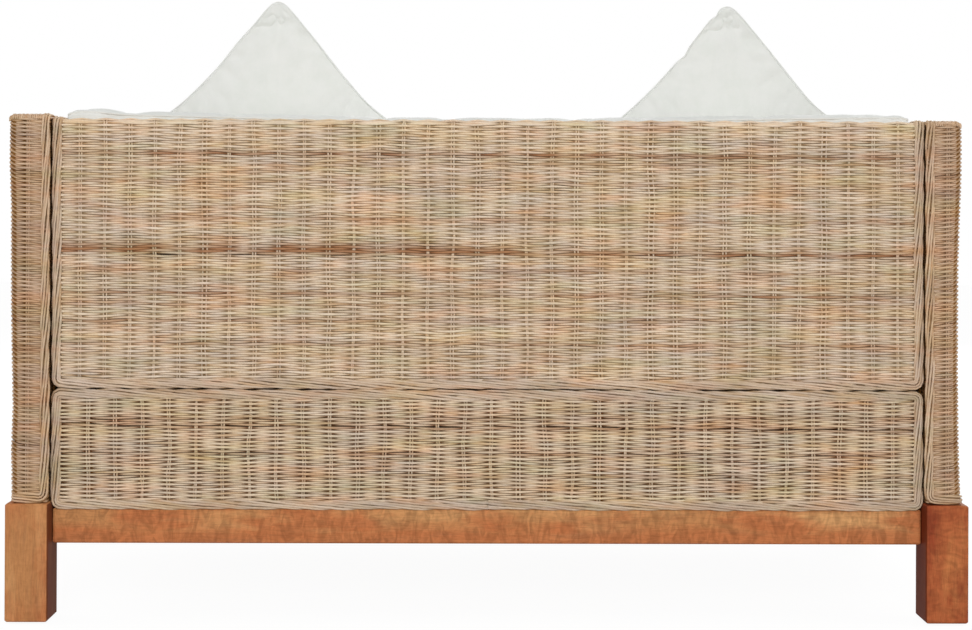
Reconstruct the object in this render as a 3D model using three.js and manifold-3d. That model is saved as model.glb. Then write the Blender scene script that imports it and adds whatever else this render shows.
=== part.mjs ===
// Two-seat rattan garden sofa. A hardwood base of four legs and four rails carries a woven seat box,
// two woven arms and a woven back, each with a frame of rattan poles inside, and loose cushions lie on it.
// Millimetres, +Z up. The origin is on the floor under the middle of the sofa, which faces -Y,
// and left is the sitter's left, at +X.
import * as THREE from 'three';
import { mergeVertices } from 'three/addons/utils/BufferGeometryUtils.js';
import Module from 'manifold-3d';

const wasm = await Module();
wasm.setup();

// Overall sizes
const overallWidth = 1350;
const overallDepth = 700;
const armTop = 712;
const backTop = 709;
const seatBoxTop = 327;
const legTop = 168;

// Clearance between rigid pieces that meet and round soft ones, and how far a cutter runs past its cut
const fit = 0.3;
const softFit = 0.4;
const overrun = 6;

// Legs and their glides
const legSide = 60;
const legEdge = 2;
const glideHeight = 3;
const glideRadius = 14;
const glideEdge = 1;
const glidePinRadius = 2.5;
const glidePinLength = 15;

// Rails of the base, with stub tenons in the legs, and the bearer between the long rails
const railHeight = 49;
const railThickness = 36;
const railEdge = 2;
const railSetBack = 26;
const railDrop = 10;
const tenonLength = 14;
const tenonThickness = 12;
const tenonHeight = 28;
const bearerThickness = 30;
const bearerHeight = 40;

// Woven panels: the cane skin, its rounded edges and the rope border that stands proud of it
const weaveThickness = 7;
const weaveCorner = 11;
const weaveTopEase = 8;
const armInset = 8;
const panelSetBack = 25;
const panelGap = 1.5;
const borderWidth = 12;
const borderRise = 3;
const borderCorner = 20;

// Ribs that the stakes raise in the woven faces: how many steps from edge to edge, the depth of the
// valleys between the ribs, and the width of a rib's flat top
const stakeSteps = { armSide: 18, armEnd: 2, seat: 32, back: 35 };
const valleyDepth = 1.6;
const ribWidth = 4;

// Rattan poles inside the panels, with turned spigots at the feet of the posts
const stileRadius = 12;
const spigotRadius = 7;
const spigotLength = 22;
const copeShare = 0.45;
const stileShares = { arm: [0], seat: [0], back: [1 / 3, -1 / 3] };

// Slatted deck
const slatCount = 9;
const slatWidth = 80;
const slatThickness = 14;
const slatEdge = 2;
const ledgerWidth = 25;
const ledgerHeight = 30;

// Seat and back cushions
const seatCushionHeight = 92;
const seatCushionOverhang = 6;
const seatCrown = 9;
const backCushionDepth = 122;
const backCushionTop = 724;
const backCrown = 2;
const backSag = 14;
const backSwell = 9;
const cushionEdge = 15;
const cushionDrawIn = 6;
const cushionSwell = 5;

// Throw pillows, which stand on a corner and lean on the back cushion, each at its gap from the arm
const pillowSide = 377;
const pillowThickness = 128;
const pillowDrawIn = 22;
const pillowCornerPower = 12;
const pillowEdgePower = 0.75;
const leftPillowGap = 41;
const rightPillowGap = 2;
const leftPillowLeanDegrees = 20;
const rightPillowLeanDegrees = 21.3;
const leftPillowTurnDegrees = 1.9;
const rightPillowTurnDegrees = -1.1;

// Facets of round forms
const easeSteps = 1;
const cornerSteps = 3;
const poleSides = 14;
const seatSteps = [20, 10, 4];
const backSteps = [20, 4, 8];
const pillowSteps = 18;
const restSteps = 60;
const restRounds = 6;

// Sizes and places that follow
const halfWidth = overallWidth / 2;
const halfDepth = overallDepth / 2;
const legX = halfWidth - legSide / 2;
const legY = halfDepth - legSide / 2;
const legHeight = legTop - glideHeight - fit;
const innerWidth = overallWidth - 2 * legSide;
const panelThickness = legSide - armInset;
const armX = halfWidth - armInset - panelThickness / 2;
const armDepth = overallDepth - 2 * armInset;
const armHeight = armTop - legTop - fit;
const poleRadius = panelThickness / 2 - weaveThickness - fit;
const armPostY = armDepth / 2 - weaveThickness - fit - poleRadius;
const panelWidth = innerWidth - 2 * panelGap;
const panelPostX = panelWidth / 2 - weaveThickness - fit - poleRadius;
const panelY = halfDepth - panelSetBack - panelThickness / 2;
const railTop = legTop - railDrop;
const railY = halfDepth - railSetBack - railThickness / 2;
const seatHeight = seatBoxTop - railTop - fit;
const backFoot = seatBoxTop + fit;
const backFront = panelY - panelThickness / 2;
const deckDepth = 2 * backFront;

const finishes = {
  mango_wood: new THREE.MeshStandardMaterial({ color: 0xb0754c, roughness: 0.5, metalness: 0 }),
  deck_wood: new THREE.MeshStandardMaterial({ color: 0xc09a6e, roughness: 0.7, metalness: 0 }),
  rattan_weave: new THREE.MeshStandardMaterial({ color: 0xb79e83, roughness: 0.75, metalness: 0 }),
  rattan_pole: new THREE.MeshStandardMaterial({ color: 0xc2a070, roughness: 0.6, metalness: 0 }),
  canvas: new THREE.MeshStandardMaterial({ color: 0xe6e6e0, roughness: 0.95, metalness: 0 }),
  nylon: new THREE.MeshStandardMaterial({ color: 0x2b2622, roughness: 0.6, metalness: 0 }),
};

// A closed three.js geometry as a solid that can be joined and cut
function solidOf(geometry) {
  const bare = geometry.clone();
  bare.deleteAttribute('normal');
  bare.deleteAttribute('uv');
  const merged = mergeVertices(bare);
  const mesh = new wasm.Mesh({
    numProp: 3,
    vertProperties: new Float32Array(merged.attributes.position.array),
    triVerts: new Uint32Array(merged.index.array),
  });
  return new wasm.Manifold(mesh);
}

function geometryOf(solid) {
  const mesh = solid.getMesh();
  const geometry = new THREE.BufferGeometry();
  geometry.setAttribute('position', new THREE.BufferAttribute(new Float32Array(mesh.vertProperties), 3));
  geometry.setIndex(new THREE.BufferAttribute(new Uint32Array(mesh.triVerts), 1));
  geometry.computeVertexNormals();
  return geometry;
}

const joined = (first, ...others) => others.reduce((whole, other) => whole.add(other), first);
const cut = (body, ...cutters) => cutters.reduce((rest, cutter) => rest.subtract(cutter), body);

function piece(name, geometry, finish, x, y, z) {
  const mesh = new THREE.Mesh(geometry, finishes[finish]);
  mesh.name = name;
  mesh.position.set(x, y, z);
  return mesh;
}

function roundedRectangle(width, height, radius) {
  const shape = new THREE.Shape();
  const x = width / 2 - radius;
  const y = height / 2 - radius;
  shape.absarc(x, -y, radius, -Math.PI / 2, 0, false);
  shape.absarc(x, y, radius, 0, Math.PI / 2, false);
  shape.absarc(-x, y, radius, Math.PI / 2, Math.PI, false);
  shape.absarc(-x, -y, radius, Math.PI, 1.5 * Math.PI, false);
  return shape;
}

// A block centred in X and Y with its foot at zero: its ends are eased and its upright edges rounded
function easedBlock(width, depth, height, edge, corner = 2 * edge, steps = easeSteps) {
  const geometry = new THREE.ExtrudeGeometry(roundedRectangle(width, depth, corner), {
    depth: height - 2 * edge,
    bevelThickness: edge,
    bevelSize: edge,
    bevelOffset: -edge,
    bevelSegments: steps,
    curveSegments: steps,
  });
  return geometry.translate(0, 0, edge);
}

// A plain block as a cutter or a tenon, centred in X and Y with its foot at z
const blockSolid = (width, depth, height, x, y, z) =>
  solidOf(new THREE.BoxGeometry(width, depth, height).translate(x, y, z + height / 2));

// A rod that runs along Z from its foot, or along X about its middle
function rod(radius, length, axis = 'z') {
  const geometry = new THREE.CylinderGeometry(radius, radius, length, poleSides);
  if (axis === 'x') return geometry.rotateZ(Math.PI / 2);
  return geometry.rotateX(Math.PI / 2).translate(0, 0, length / 2);
}

const rodSolid = (radius, length, axis, x, y, z) => solidOf(rod(radius, length, axis).translate(x, y, z));

// Base
// The leg hangs down from its top at zero. Its mortises take the stub tenons of the two rails that
// meet there, a blind socket takes the spigot of the arm's post, and a hole the pin of the glide.
function leg(sideX, sideY) {
  const block = solidOf(easedBlock(legSide, legSide, legHeight, legEdge).translate(0, 0, -legHeight));
  const width = tenonThickness + 2 * fit;
  const height = tenonHeight + 2 * fit;
  const reach = tenonLength + fit + overrun;
  const inward = legSide / 2 - tenonLength - fit + reach / 2;
  const longRailY = sideY * (railY - legY);
  const sideRailX = sideX * (armX - legX);
  const longRailMiddle = -railDrop - railHeight / 2;
  const sideRailMiddle = -railHeight / 2;
  const postY = sideY * (armPostY - legY);
  return geometryOf(cut(
    block,
    blockSolid(reach, width, height, -sideX * inward, longRailY, longRailMiddle - height / 2),
    blockSolid(width, reach, height, sideRailX, -sideY * inward, sideRailMiddle - height / 2),
    rodSolid(spigotRadius + fit, spigotLength + fit + overrun, 'z', sideRailX, postY, -spigotLength - fit),
    rodSolid(glidePinRadius + fit, glidePinLength + fit + overrun, 'z', 0, 0, -legHeight - overrun),
  ));
}

function glide() {
  const top = glideHeight + glidePinLength;
  const profile = [
    [0, 0], [glideRadius - glideEdge, 0], [glideRadius, glideEdge], [glideRadius, glideHeight],
    [glidePinRadius, glideHeight], [glidePinRadius, top], [0, top],
  ].map(([radius, z]) => new THREE.Vector2(radius, z));
  return new THREE.LatheGeometry(profile, poleSides).rotateX(Math.PI / 2);
}

// A rail along X with a stub tenon at each end, hanging down from its top at zero
function rail(length, thickness, height, ...cutters) {
  const body = solidOf(easedBlock(length, thickness, height, railEdge).translate(0, 0, -height));
  const tenonZ = -(height + tenonHeight) / 2;
  const tenons = blockSolid(length + 2 * tenonLength, tenonThickness, tenonHeight, 0, 0, tenonZ);
  return geometryOf(cut(joined(body, tenons), ...cutters));
}

// A long rail has sockets in its top for the spigots of the seat box, and a mortise for the bearer
function longRail(sideY) {
  const depth = spigotLength + fit;
  const dowelY = sideY * (panelY - railY);
  const sockets = [-panelPostX, panelPostX].map((x) =>
    rodSolid(spigotRadius + fit, depth + overrun, 'z', x, dowelY, -depth));
  const reach = tenonLength + fit + overrun;
  const inward = railThickness / 2 - tenonLength - fit + reach / 2;
  const height = tenonHeight + 2 * fit;
  const mortiseZ = -(bearerHeight + height) / 2;
  const mortise = blockSolid(tenonThickness + 2 * fit, reach, height, 0, -sideY * inward, mortiseZ);
  return rail(innerWidth - 2 * fit, railThickness, railHeight, ...sockets, mortise);
}

function base() {
  const group = new THREE.Group();
  for (const [end, sideY] of [['front', -1], ['rear', 1]]) {
    for (const [hand, sideX] of [['left', 1], ['right', -1]]) {
      const [x, y] = [sideX * legX, sideY * legY];
      group.add(piece(`leg_${end}_${hand}`, leg(sideX, sideY), 'mango_wood', x, y, legTop));
      group.add(piece(`glide_${end}_${hand}`, glide(), 'nylon', x, y, 0));
    }
    group.add(piece(`base_rail_${end}`, longRail(sideY), 'mango_wood', 0, sideY * railY, railTop));
  }
  const sideLength = overallDepth - 2 * legSide - 2 * fit;
  for (const [hand, sideX] of [['left', 1], ['right', -1]]) {
    const sideRail = rail(sideLength, railThickness, railHeight).rotateZ(Math.PI / 2);
    group.add(piece(`base_rail_${hand}`, sideRail, 'mango_wood', sideX * armX, 0, legTop));
  }
  const bearerLength = 2 * railY - railThickness - 2 * fit;
  const bearer = rail(bearerLength, bearerThickness, bearerHeight).rotateZ(Math.PI / 2);
  group.add(piece('base_bearer', bearer, 'mango_wood', 0, 0, railTop));
  return group;
}

// Woven panels
// The skin of cane that is woven round a pole frame: a rounded shell, open underneath, where the foot
// pole shows. It is centred in X and Y, with its open foot at zero.
function wovenShell(width, depth, height) {
  const block = easedBlock(width, depth, height + weaveTopEase, weaveTopEase, weaveCorner, cornerSteps);
  const outer = solidOf(block.translate(0, 0, -weaveTopEase));
  const below = blockSolid(width + overrun, depth + overrun, weaveTopEase + overrun, 0, 0,
    -weaveTopEase - overrun);
  const [innerX, innerY] = [width - 2 * weaveThickness, depth - 2 * weaveThickness];
  const hollow = blockSolid(innerX, innerY, height - weaveThickness + overrun, 0, 0, -overrun);
  return cut(outer, below, hollow);
}

// The valleys between the ribs of a face, as one cutter with a zigzag edge that runs across the face
function valleys(width, height, steps) {
  const step = width / steps;
  const above = (valleyDepth * ribWidth) / (step - ribWidth);
  const edge = new THREE.Shape();
  edge.moveTo(-width / 2, above);
  for (let i = 0; i < steps; i += 1) {
    edge.lineTo(-width / 2 + (i + 1 / 2) * step, -valleyDepth);
    edge.lineTo(-width / 2 + (i + 1) * step, above);
  }
  edge.lineTo(width / 2, above + overrun);
  edge.lineTo(-width / 2, above + overrun);
  const depth = height + 2 * overrun;
  return solidOf(new THREE.ExtrudeGeometry(edge, { depth, bevelEnabled: false }).translate(0, 0, -overrun));
}

// A shell with ribs in the faces that look along Y at faceY, or along X at faceX
const ribbedAlongY = (shell, faceY, cutter) =>
  cut(shell, cutter.rotate([0, 0, faceY > 0 ? 0 : 180]).translate([0, faceY, 0]));
const ribbedAlongX = (shell, faceX, cutter) =>
  cut(shell, cutter.rotate([0, 0, faceX > 0 ? -90 : 90]).translate([faceX, 0, 0]));

// The rope border of a face that looks along +Y or -Y: a rounded bead round its edge with rounded
// corners. Its foot is at zero. An open border has no rope along the top, where the cane turns over.
function ropeBorder(width, height, open, faceY, facing) {
  const reach = open ? height + borderCorner : height;
  const band = roundedRectangle(width, reach, borderCorner);
  const [windowWidth, windowHeight] = [width - 2 * borderWidth, reach - 2 * borderWidth];
  band.holes.push(roundedRectangle(windowWidth, windowHeight, borderCorner - borderWidth));
  const sunk = weaveThickness / 4;
  const bead = new THREE.ExtrudeGeometry(band, {
    depth: sunk,
    bevelThickness: borderRise,
    bevelSize: borderRise,
    bevelOffset: -borderRise,
    bevelSegments: 2,
    curveSegments: cornerSteps,
  });
  bead.translate(0, 0, -sunk).rotateX(Math.PI / 2);
  if (facing > 0) bead.rotateZ(Math.PI);
  const ring = solidOf(bead.translate(0, faceY, reach / 2));
  if (!open) return ring;
  const cutHeight = borderCorner + borderWidth + overrun;
  return cut(ring, blockSolid(width + overrun, panelThickness, cutHeight, 0, faceY, height));
}

// The pole frame in a woven panel: a head pole coped over two posts, a foot pole coped between them,
// and stiles. The posts have spigots at their feet. It runs along X, with the panel's foot at zero.
function poleFrame(prefix, ends, width, height, shares, headSockets = []) {
  const group = new THREE.Group();
  const postX = width / 2 - weaveThickness - fit - poleRadius;
  const headZ = height - weaveThickness - fit - poleRadius;
  const cope = copeShare * poleRadius;
  const sweep = poleRadius + fit;
  const add = (name, solid, x, z) =>
    group.add(piece(`${prefix}_${name}`, geometryOf(solid), 'rattan_pole', x, 0, z));

  const head = rodSolid(poleRadius, width - 2 * weaveThickness - 2 * fit, 'x', 0, 0, 0);
  add('head_pole', cut(head, ...headSockets.map((socket) => socket.translate([0, 0, -headZ]))), 0, headZ);

  const postTop = headZ - cope;
  const headSaddle = rodSolid(sweep, 4 * sweep, 'x', 0, 0, headZ);
  const shaft = rodSolid(poleRadius, postTop, 'z', 0, 0, 0);
  const spigot = rodSolid(spigotRadius, spigotLength + poleRadius, 'z', 0, 0, -spigotLength);
  const post = cut(joined(shaft, spigot), headSaddle);
  ends.forEach((end, i) => add(`post_${end}`, post, (1 - 2 * i) * postX, 0));

  const foot = rodSolid(poleRadius, 2 * (postX - cope), 'x', 0, 0, 0);
  const postSaddles = [-postX, postX].map((x) => rodSolid(sweep, 4 * sweep, 'z', x, 0, -2 * sweep));
  add('foot_pole', cut(foot, ...postSaddles), 0, poleRadius);

  const stileFoot = poleRadius + cope;
  const footSaddle = rodSolid(sweep, 4 * sweep, 'x', 0, 0, poleRadius);
  const stick = rodSolid(stileRadius, postTop - stileFoot, 'z', 0, 0, stileFoot);
  const stile = cut(stick, headSaddle, footSaddle);
  shares.forEach((share, i) => {
    const name = shares.length > 1 ? `stile_${i + 1}` : 'stile';
    add(name, stile, share * postX, 0);
  });
  return group;
}

// Arms
// The arm's skin has a rope border down the inner edge and along the foot of its two end faces, and a
// straight one along the foot of its outer face. The side is 1 for the left arm and -1 for the right.
function armSkin(side) {
  const faceHeight = armHeight - weaveTopEase;
  const outerHalf = blockSolid(panelThickness + overrun, 2 * armDepth, armHeight + 2 * overrun,
    (side * (panelThickness + overrun)) / 2, 0, -overrun);
  const ends = [-1, 1].map((facing) => {
    const border = ropeBorder(2 * panelThickness, faceHeight, true, (facing * armDepth) / 2, facing);
    return cut(border, outerHalf).translate([(side * panelThickness) / 2, 0, 0]);
  });
  const footWidth = weaveThickness + borderRise - fit;
  const footX = side * (panelThickness / 2 + borderRise - footWidth / 2);
  const footLength = armDepth + 2 * borderRise;
  const foot = easedBlock(footWidth, footLength, borderWidth, borderRise / 2).translate(footX, 0, 0);
  const sideValleys = valleys(armDepth, armHeight, stakeSteps.armSide);
  const endValleys = valleys(panelThickness, armHeight, stakeSteps.armEnd);
  let shell = wovenShell(panelThickness, armDepth, armHeight);
  for (const facing of [-1, 1]) {
    shell = ribbedAlongX(shell, (facing * panelThickness) / 2, sideValleys);
    shell = ribbedAlongY(shell, (facing * armDepth) / 2, endValleys);
  }
  return geometryOf(joined(shell, ...ends, solidOf(foot)));
}

function arm(hand, side) {
  const group = new THREE.Group();
  group.position.set(side * armX, 0, legTop + fit);
  group.add(piece(`arm_${hand}_weave`, armSkin(side), 'rattan_weave', 0, 0, 0));
  const frame = poleFrame(`arm_${hand}`, ['rear', 'front'], armDepth, armHeight, stileShares.arm);
  frame.rotation.z = Math.PI / 2;
  group.add(frame);
  return group;
}

// Seat box and back
// Sockets for the spigots of the back's posts, in the frame of the rear panel of the seat box
function backSockets() {
  const z = seatHeight - spigotLength;
  return [-panelPostX, panelPostX].map((x) =>
    rodSolid(spigotRadius + fit, spigotLength + overrun, 'z', x, 0, z));
}

function seatPanel(end, facing) {
  const group = new THREE.Group();
  group.position.set(0, facing * panelY, railTop + fit);
  const sockets = facing > 0 ? backSockets() : [];
  const faceY = (facing * panelThickness) / 2;
  const plain = cut(wovenShell(panelWidth, panelThickness, seatHeight), ...sockets);
  const shell = ribbedAlongY(plain, faceY, valleys(panelWidth, seatHeight, stakeSteps.seat));
  const border = ropeBorder(panelWidth, seatHeight, false, faceY, facing);
  group.add(piece(`seat_${end}_weave`, geometryOf(joined(shell, border)), 'rattan_weave', 0, 0, 0));
  const hands = ['left', 'right'];
  group.add(poleFrame(`seat_${end}`, hands, panelWidth, seatHeight, stileShares.seat, sockets));
  return group;
}

function deck() {
  const group = new THREE.Group();
  const ledgerTop = seatBoxTop - slatThickness - fit;
  const ledgerY = backFront - fit - ledgerWidth / 2;
  const ledgerFoot = ledgerTop - ledgerHeight;
  for (const [end, sideY] of [['front', -1], ['rear', 1]]) {
    const ledger = easedBlock(panelWidth, ledgerWidth, ledgerHeight, slatEdge);
    group.add(piece(`deck_ledger_${end}`, ledger, 'deck_wood', 0, sideY * ledgerY, ledgerFoot));
  }
  const pitch = panelWidth / slatCount;
  for (let i = 0; i < slatCount; i += 1) {
    const slat = easedBlock(slatWidth, deckDepth - 2 * fit, slatThickness, slatEdge);
    const x = ((slatCount - 1) / 2 - i) * pitch;
    group.add(piece(`deck_slat_${i + 1}`, slat, 'deck_wood', x, 0, seatBoxTop - slatThickness));
  }
  return group;
}

function backrest() {
  const group = new THREE.Group();
  const height = backTop - backFoot;
  group.position.set(0, panelY, backFoot);
  const border = ropeBorder(panelWidth, height - weaveTopEase, true, panelThickness / 2, 1);
  const plain = wovenShell(panelWidth, panelThickness, height);
  const shell = ribbedAlongY(plain, panelThickness / 2, valleys(panelWidth, height, stakeSteps.back));
  group.add(piece('back_weave', geometryOf(joined(shell, border)), 'rattan_weave', 0, 0, 0));
  group.add(poleFrame('back', ['left', 'right'], panelWidth, height, stileShares.back));
  return group;
}

// Cushions
// A box cushion is a grid on a box, rounded at its edges. Its sides draw in between the corners and
// swell between the seams, and its top is crowned, or sags in the middle of its width. u, v and t run
// from -1 to 1 along its width, depth and height.
function cushionPoint(size, u, v, t) {
  const half = new THREE.Vector3(size.width / 2, size.depth / 2, size.height / 2);
  const point = new THREE.Vector3(u, v, t).multiply(half);
  const limit = half.clone().subScalar(cushionEdge);
  const core = point.clone().clamp(limit.clone().negate(), limit);
  point.sub(core).setLength(cushionEdge).add(core);
  const [broadU, broadV, broadT] = [u, v, t].map((value) => 1 - value ** 4);
  const drawn = cushionSwell * (1 - t ** 2) - cushionDrawIn;
  const front = v < 0 ? size.frontSwell * broadT * broadU : 0;
  point.x += u * drawn * (1 - v ** 2);
  point.y += v * (drawn * (1 - u ** 2) + front);
  point.z += ((1 + t) / 2) * (size.crown * broadU * broadV - size.sag * (1 - u ** 2) ** 2);
  return point.add(size.centre);
}

const seatFrontY = -panelY - panelThickness / 2 - borderRise - seatCushionOverhang;
const seatSize = {
  width: innerWidth - 2 * fit,
  depth: backFront - fit - seatFrontY,
  height: seatCushionHeight,
  crown: seatCrown,
  sag: 0,
  frontSwell: 0,
  centre: new THREE.Vector3(0, (backFront - fit + seatFrontY) / 2, seatBoxTop + fit + seatCushionHeight / 2),
};
const seatTop = seatBoxTop + fit + seatCushionHeight;
const backHeight = backCushionTop - seatTop - softFit;
const backSize = {
  width: innerWidth - 2 * fit,
  depth: backCushionDepth,
  height: backHeight,
  crown: backCrown,
  sag: backSag,
  frontSwell: backSwell,
  centre: new THREE.Vector3(0, backFront - fit - backCushionDepth / 2, backCushionTop - backHeight / 2),
};

// Heights of the seat cushion's crowned top, and depths of the back cushion's swelling front
function seatTopAt(x, y) {
  const u = (2 * x) / seatSize.width;
  const v = (2 * (y - seatSize.centre.y)) / seatSize.depth;
  return seatTop + seatCrown * Math.max(0, 1 - u ** 4) * Math.max(0, 1 - v ** 4);
}

function backFrontAt(x, z) {
  const u = (2 * x) / backSize.width;
  const t = (2 * (z - backSize.centre.z)) / backSize.height;
  const drawn = (cushionSwell * (1 - t ** 2) - cushionDrawIn) * (1 - u ** 2);
  const swell = drawn + backSwell * (1 - t ** 4) * (1 - u ** 4);
  const face = backSize.centre.y - backCushionDepth / 2 - swell;
  const aboveCore = Math.max(0, z - (backCushionTop + backCrown - cushionEdge));
  return face + cushionEdge - Math.sqrt(Math.max(0, cushionEdge ** 2 - aboveCore ** 2));
}

// The cushion's mesh: the grid of a box, drawn closer towards its edges, with each point moved by shape
function cushionGeometry(size, steps, shape = (point) => point) {
  const geometry = new THREE.BoxGeometry(2, 2, 2, ...steps);
  const position = geometry.attributes.position;
  const closer = (value) => Math.sin((value * Math.PI) / 2);
  for (let i = 0; i < position.count; i += 1) {
    const [u, v, t] = [position.getX(i), position.getY(i), position.getZ(i)].map(closer);
    const point = shape(cushionPoint(size, u, v, t), t);
    position.setXYZ(i, point.x, point.y, point.z);
  }
  return geometry;
}

// The back cushion's foot follows the crown of the seat cushion under it
function onSeat(point, t) {
  const lift = seatTopAt(point.x, point.y) - seatTop;
  point.z += (lift * (1 - t)) / 2;
  return point;
}

// A throw pillow is two swelling faces that meet in a knife edge. Its outline draws in between the
// corners, which are rounded. u and v run from -1 to 1 over a face, and face is 1 or -1.
function pillowPoint(u, v, face) {
  const farthest = Math.max(Math.abs(u), Math.abs(v));
  const powers = Math.abs(u) ** pillowCornerPower + Math.abs(v) ** pillowCornerPower;
  const ring = powers ** (1 / pillowCornerPower);
  const rounded = ring > 0 ? farthest / ring : 1;
  const [p, q] = [u * rounded, v * rounded];
  const x = (p * pillowSide) / 2 - p * pillowDrawIn * (1 - q ** 2);
  const z = (q * pillowSide) / 2 - q * pillowDrawIn * (1 - p ** 2);
  const swell = (Math.cos((u * Math.PI) / 2) * Math.cos((v * Math.PI) / 2)) ** pillowEdgePower;
  return new THREE.Vector3(x, (face * swell * pillowThickness) / 2, z);
}

function pillowGeometry() {
  const positions = [];
  const index = [];
  const count = pillowSteps + 1;
  for (const face of [-1, 1]) {
    const first = positions.length / 3;
    for (let i = 0; i < count; i += 1) {
      for (let j = 0; j < count; j += 1) {
        const [u, v] = [i, j].map((step) => Math.sin((step / pillowSteps - 0.5) * Math.PI));
        positions.push(...pillowPoint(u, v, face));
        if (i === pillowSteps || j === pillowSteps) continue;
        const a = first + i * count + j;
        const [b, c, d] = [a + count, a + count + 1, a + 1];
        index.push(...(face < 0 ? [a, b, c, a, c, d] : [a, c, b, a, d, c]));
      }
    }
  }
  const geometry = new THREE.BufferGeometry();
  geometry.setAttribute('position', new THREE.Float32BufferAttribute(positions, 3));
  geometry.setIndex(index);
  const merged = mergeVertices(geometry);
  merged.computeVertexNormals();
  return merged;
}

// Brings a pillow to its gap from the arm, down on the seat cushion and back against the back cushion,
// until each of the two is softFit away. The side is 1 for the left arm and -1 for the right.
function setDown(pillow, side, armGap) {
  const samples = [];
  for (let i = 0; i <= restSteps; i += 1) {
    for (let j = 0; j <= restSteps; j += 1) {
      const [u, v] = [i, j].map((step) => Math.sin((step / restSteps - 0.5) * Math.PI));
      samples.push(pillowPoint(u, v, -1), pillowPoint(u, v, 1));
    }
  }
  for (let round = 0; round < restRounds; round += 1) {
    pillow.updateMatrix();
    const placed = samples.map((sample) => sample.clone().applyMatrix4(pillow.matrix));
    const outermost = Math.max(...placed.map((p) => side * p.x));
    pillow.position.x += side * (innerWidth / 2 - armGap - outermost);
    const below = Math.min(...placed.map((p) => p.z - seatTopAt(p.x, p.y)));
    pillow.position.z += softFit - below;
    const beside = placed.filter((p) => p.z < backCushionTop);
    const behind = Math.min(...beside.map((p) => backFrontAt(p.x, p.z + softFit - below) - p.y));
    pillow.position.y += behind - softFit;
  }
}

function cushions() {
  const group = new THREE.Group();
  group.add(piece('seat_cushion', cushionGeometry(seatSize, seatSteps), 'canvas', 0, 0, 0));
  group.add(piece('back_cushion', cushionGeometry(backSize, backSteps, onSeat), 'canvas', 0, 0, 0));
  const pillows = [
    ['left', 1, leftPillowGap, leftPillowLeanDegrees, leftPillowTurnDegrees],
    ['right', -1, rightPillowGap, rightPillowLeanDegrees, rightPillowTurnDegrees],
  ];
  for (const [hand, side, armGap, leanDegrees, turnDegrees] of pillows) {
    const pillow = piece(`throw_pillow_${hand}`, pillowGeometry(), 'canvas', 0, 0, backCushionTop);
    pillow.rotation.order = 'XYZ';
    pillow.rotation.x = -THREE.MathUtils.degToRad(leanDegrees);
    pillow.rotation.y = THREE.MathUtils.degToRad(45 - turnDegrees);
    setDown(pillow, side, armGap);
    group.add(pillow);
  }
  return group;
}

const sofa = new THREE.Group();
sofa.name = 'rattan_garden_sofa';
sofa.add(base(), seatPanel('front', -1), seatPanel('rear', 1), deck(), backrest());
sofa.add(arm('left', 1), arm('right', -1), cushions());
export default sofa;
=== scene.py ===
import bpy
import numpy as np
from mathutils import Matrix, Vector


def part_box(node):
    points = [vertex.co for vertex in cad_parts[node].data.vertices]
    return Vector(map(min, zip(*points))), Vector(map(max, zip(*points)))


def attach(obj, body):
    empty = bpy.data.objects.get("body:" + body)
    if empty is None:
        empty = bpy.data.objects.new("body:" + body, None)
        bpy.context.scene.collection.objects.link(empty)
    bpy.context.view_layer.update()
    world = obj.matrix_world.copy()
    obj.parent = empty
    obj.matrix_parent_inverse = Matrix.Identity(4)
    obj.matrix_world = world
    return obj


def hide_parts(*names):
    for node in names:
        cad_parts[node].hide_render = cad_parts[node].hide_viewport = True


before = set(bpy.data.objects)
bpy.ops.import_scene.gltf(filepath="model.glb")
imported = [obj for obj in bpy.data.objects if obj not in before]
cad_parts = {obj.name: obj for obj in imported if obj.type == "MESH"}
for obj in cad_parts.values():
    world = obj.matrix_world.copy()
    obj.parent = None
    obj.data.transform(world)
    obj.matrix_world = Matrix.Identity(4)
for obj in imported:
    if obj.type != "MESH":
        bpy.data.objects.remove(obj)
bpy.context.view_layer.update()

# The base: four square legs and the rails tenoned into them, in a warm orange-brown hardwood with a
# waxed finish. The grain runs along each piece, with darker red patches and thin grey-brown streaks.
WOOD_PALE = (212, 158, 104)
WOOD_MAIN = (189, 131, 82)
WOOD_RED = (186, 107, 63)
WOOD_STREAK = (140, 98, 68)
RED_LEG_PALE = (197, 124, 72)
RED_LEG_MAIN = (177, 97, 56)
RED_LEG_DARK = (142, 60, 33)
RED_LEG_STREAK = (146, 86, 52)
RAIL_RED_BELOW = 0.131
LEG_INNER_FACE = 0.6156


def linear(colour):
    """A shader colour from red, green and blue of 0 to 255: the sRGB curve undone, with alpha 1."""
    share = np.array(colour) / 255
    curve = np.where(share < 0.04045, share / 12.92, ((share + 0.055) / 1.055) ** 2.4)
    return (*curve.tolist(), 1.0)


def grey(level):
    """A shader colour whose red, green and blue are alike."""
    return (level, level, level, 1)


def new_material(name, roughness):
    """A material with a plain Principled shader, and that shader."""
    material = bpy.data.materials.new(name)
    material.use_nodes = True
    shader = material.node_tree.nodes["Principled BSDF"]
    shader.inputs["Roughness"].default_value = roughness
    shader.inputs["Specular IOR Level"].default_value = 0.3
    return material, shader


def shader_node(material, kind, options=None, **inputs):
    """Adds a node. An input is a number, a vector, a colour, or the output of another node."""
    node = material.node_tree.nodes.new(kind)
    for name, value in (options or {}).items():
        setattr(node, name, value)
    for name, value in inputs.items():
        socket = node.inputs[int(name[1:])] if name[1:].isdigit() else node.inputs[name]
        if isinstance(value, bpy.types.NodeSocket):
            material.node_tree.links.new(value, socket)
        else:
            socket.default_value = value
    return node


def ramp(material, factor, stops):
    """A colour ramp through (place, colour) stops, and its colour output."""
    node = shader_node(material, "ShaderNodeValToRGB", Fac=factor)
    elements = node.color_ramp.elements
    while len(elements) < len(stops):
        elements.new(0.5)
    for element, (place, colour) in zip(elements, stops):
        element.position = place
        element.color = colour
    return node.outputs["Color"]


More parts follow.
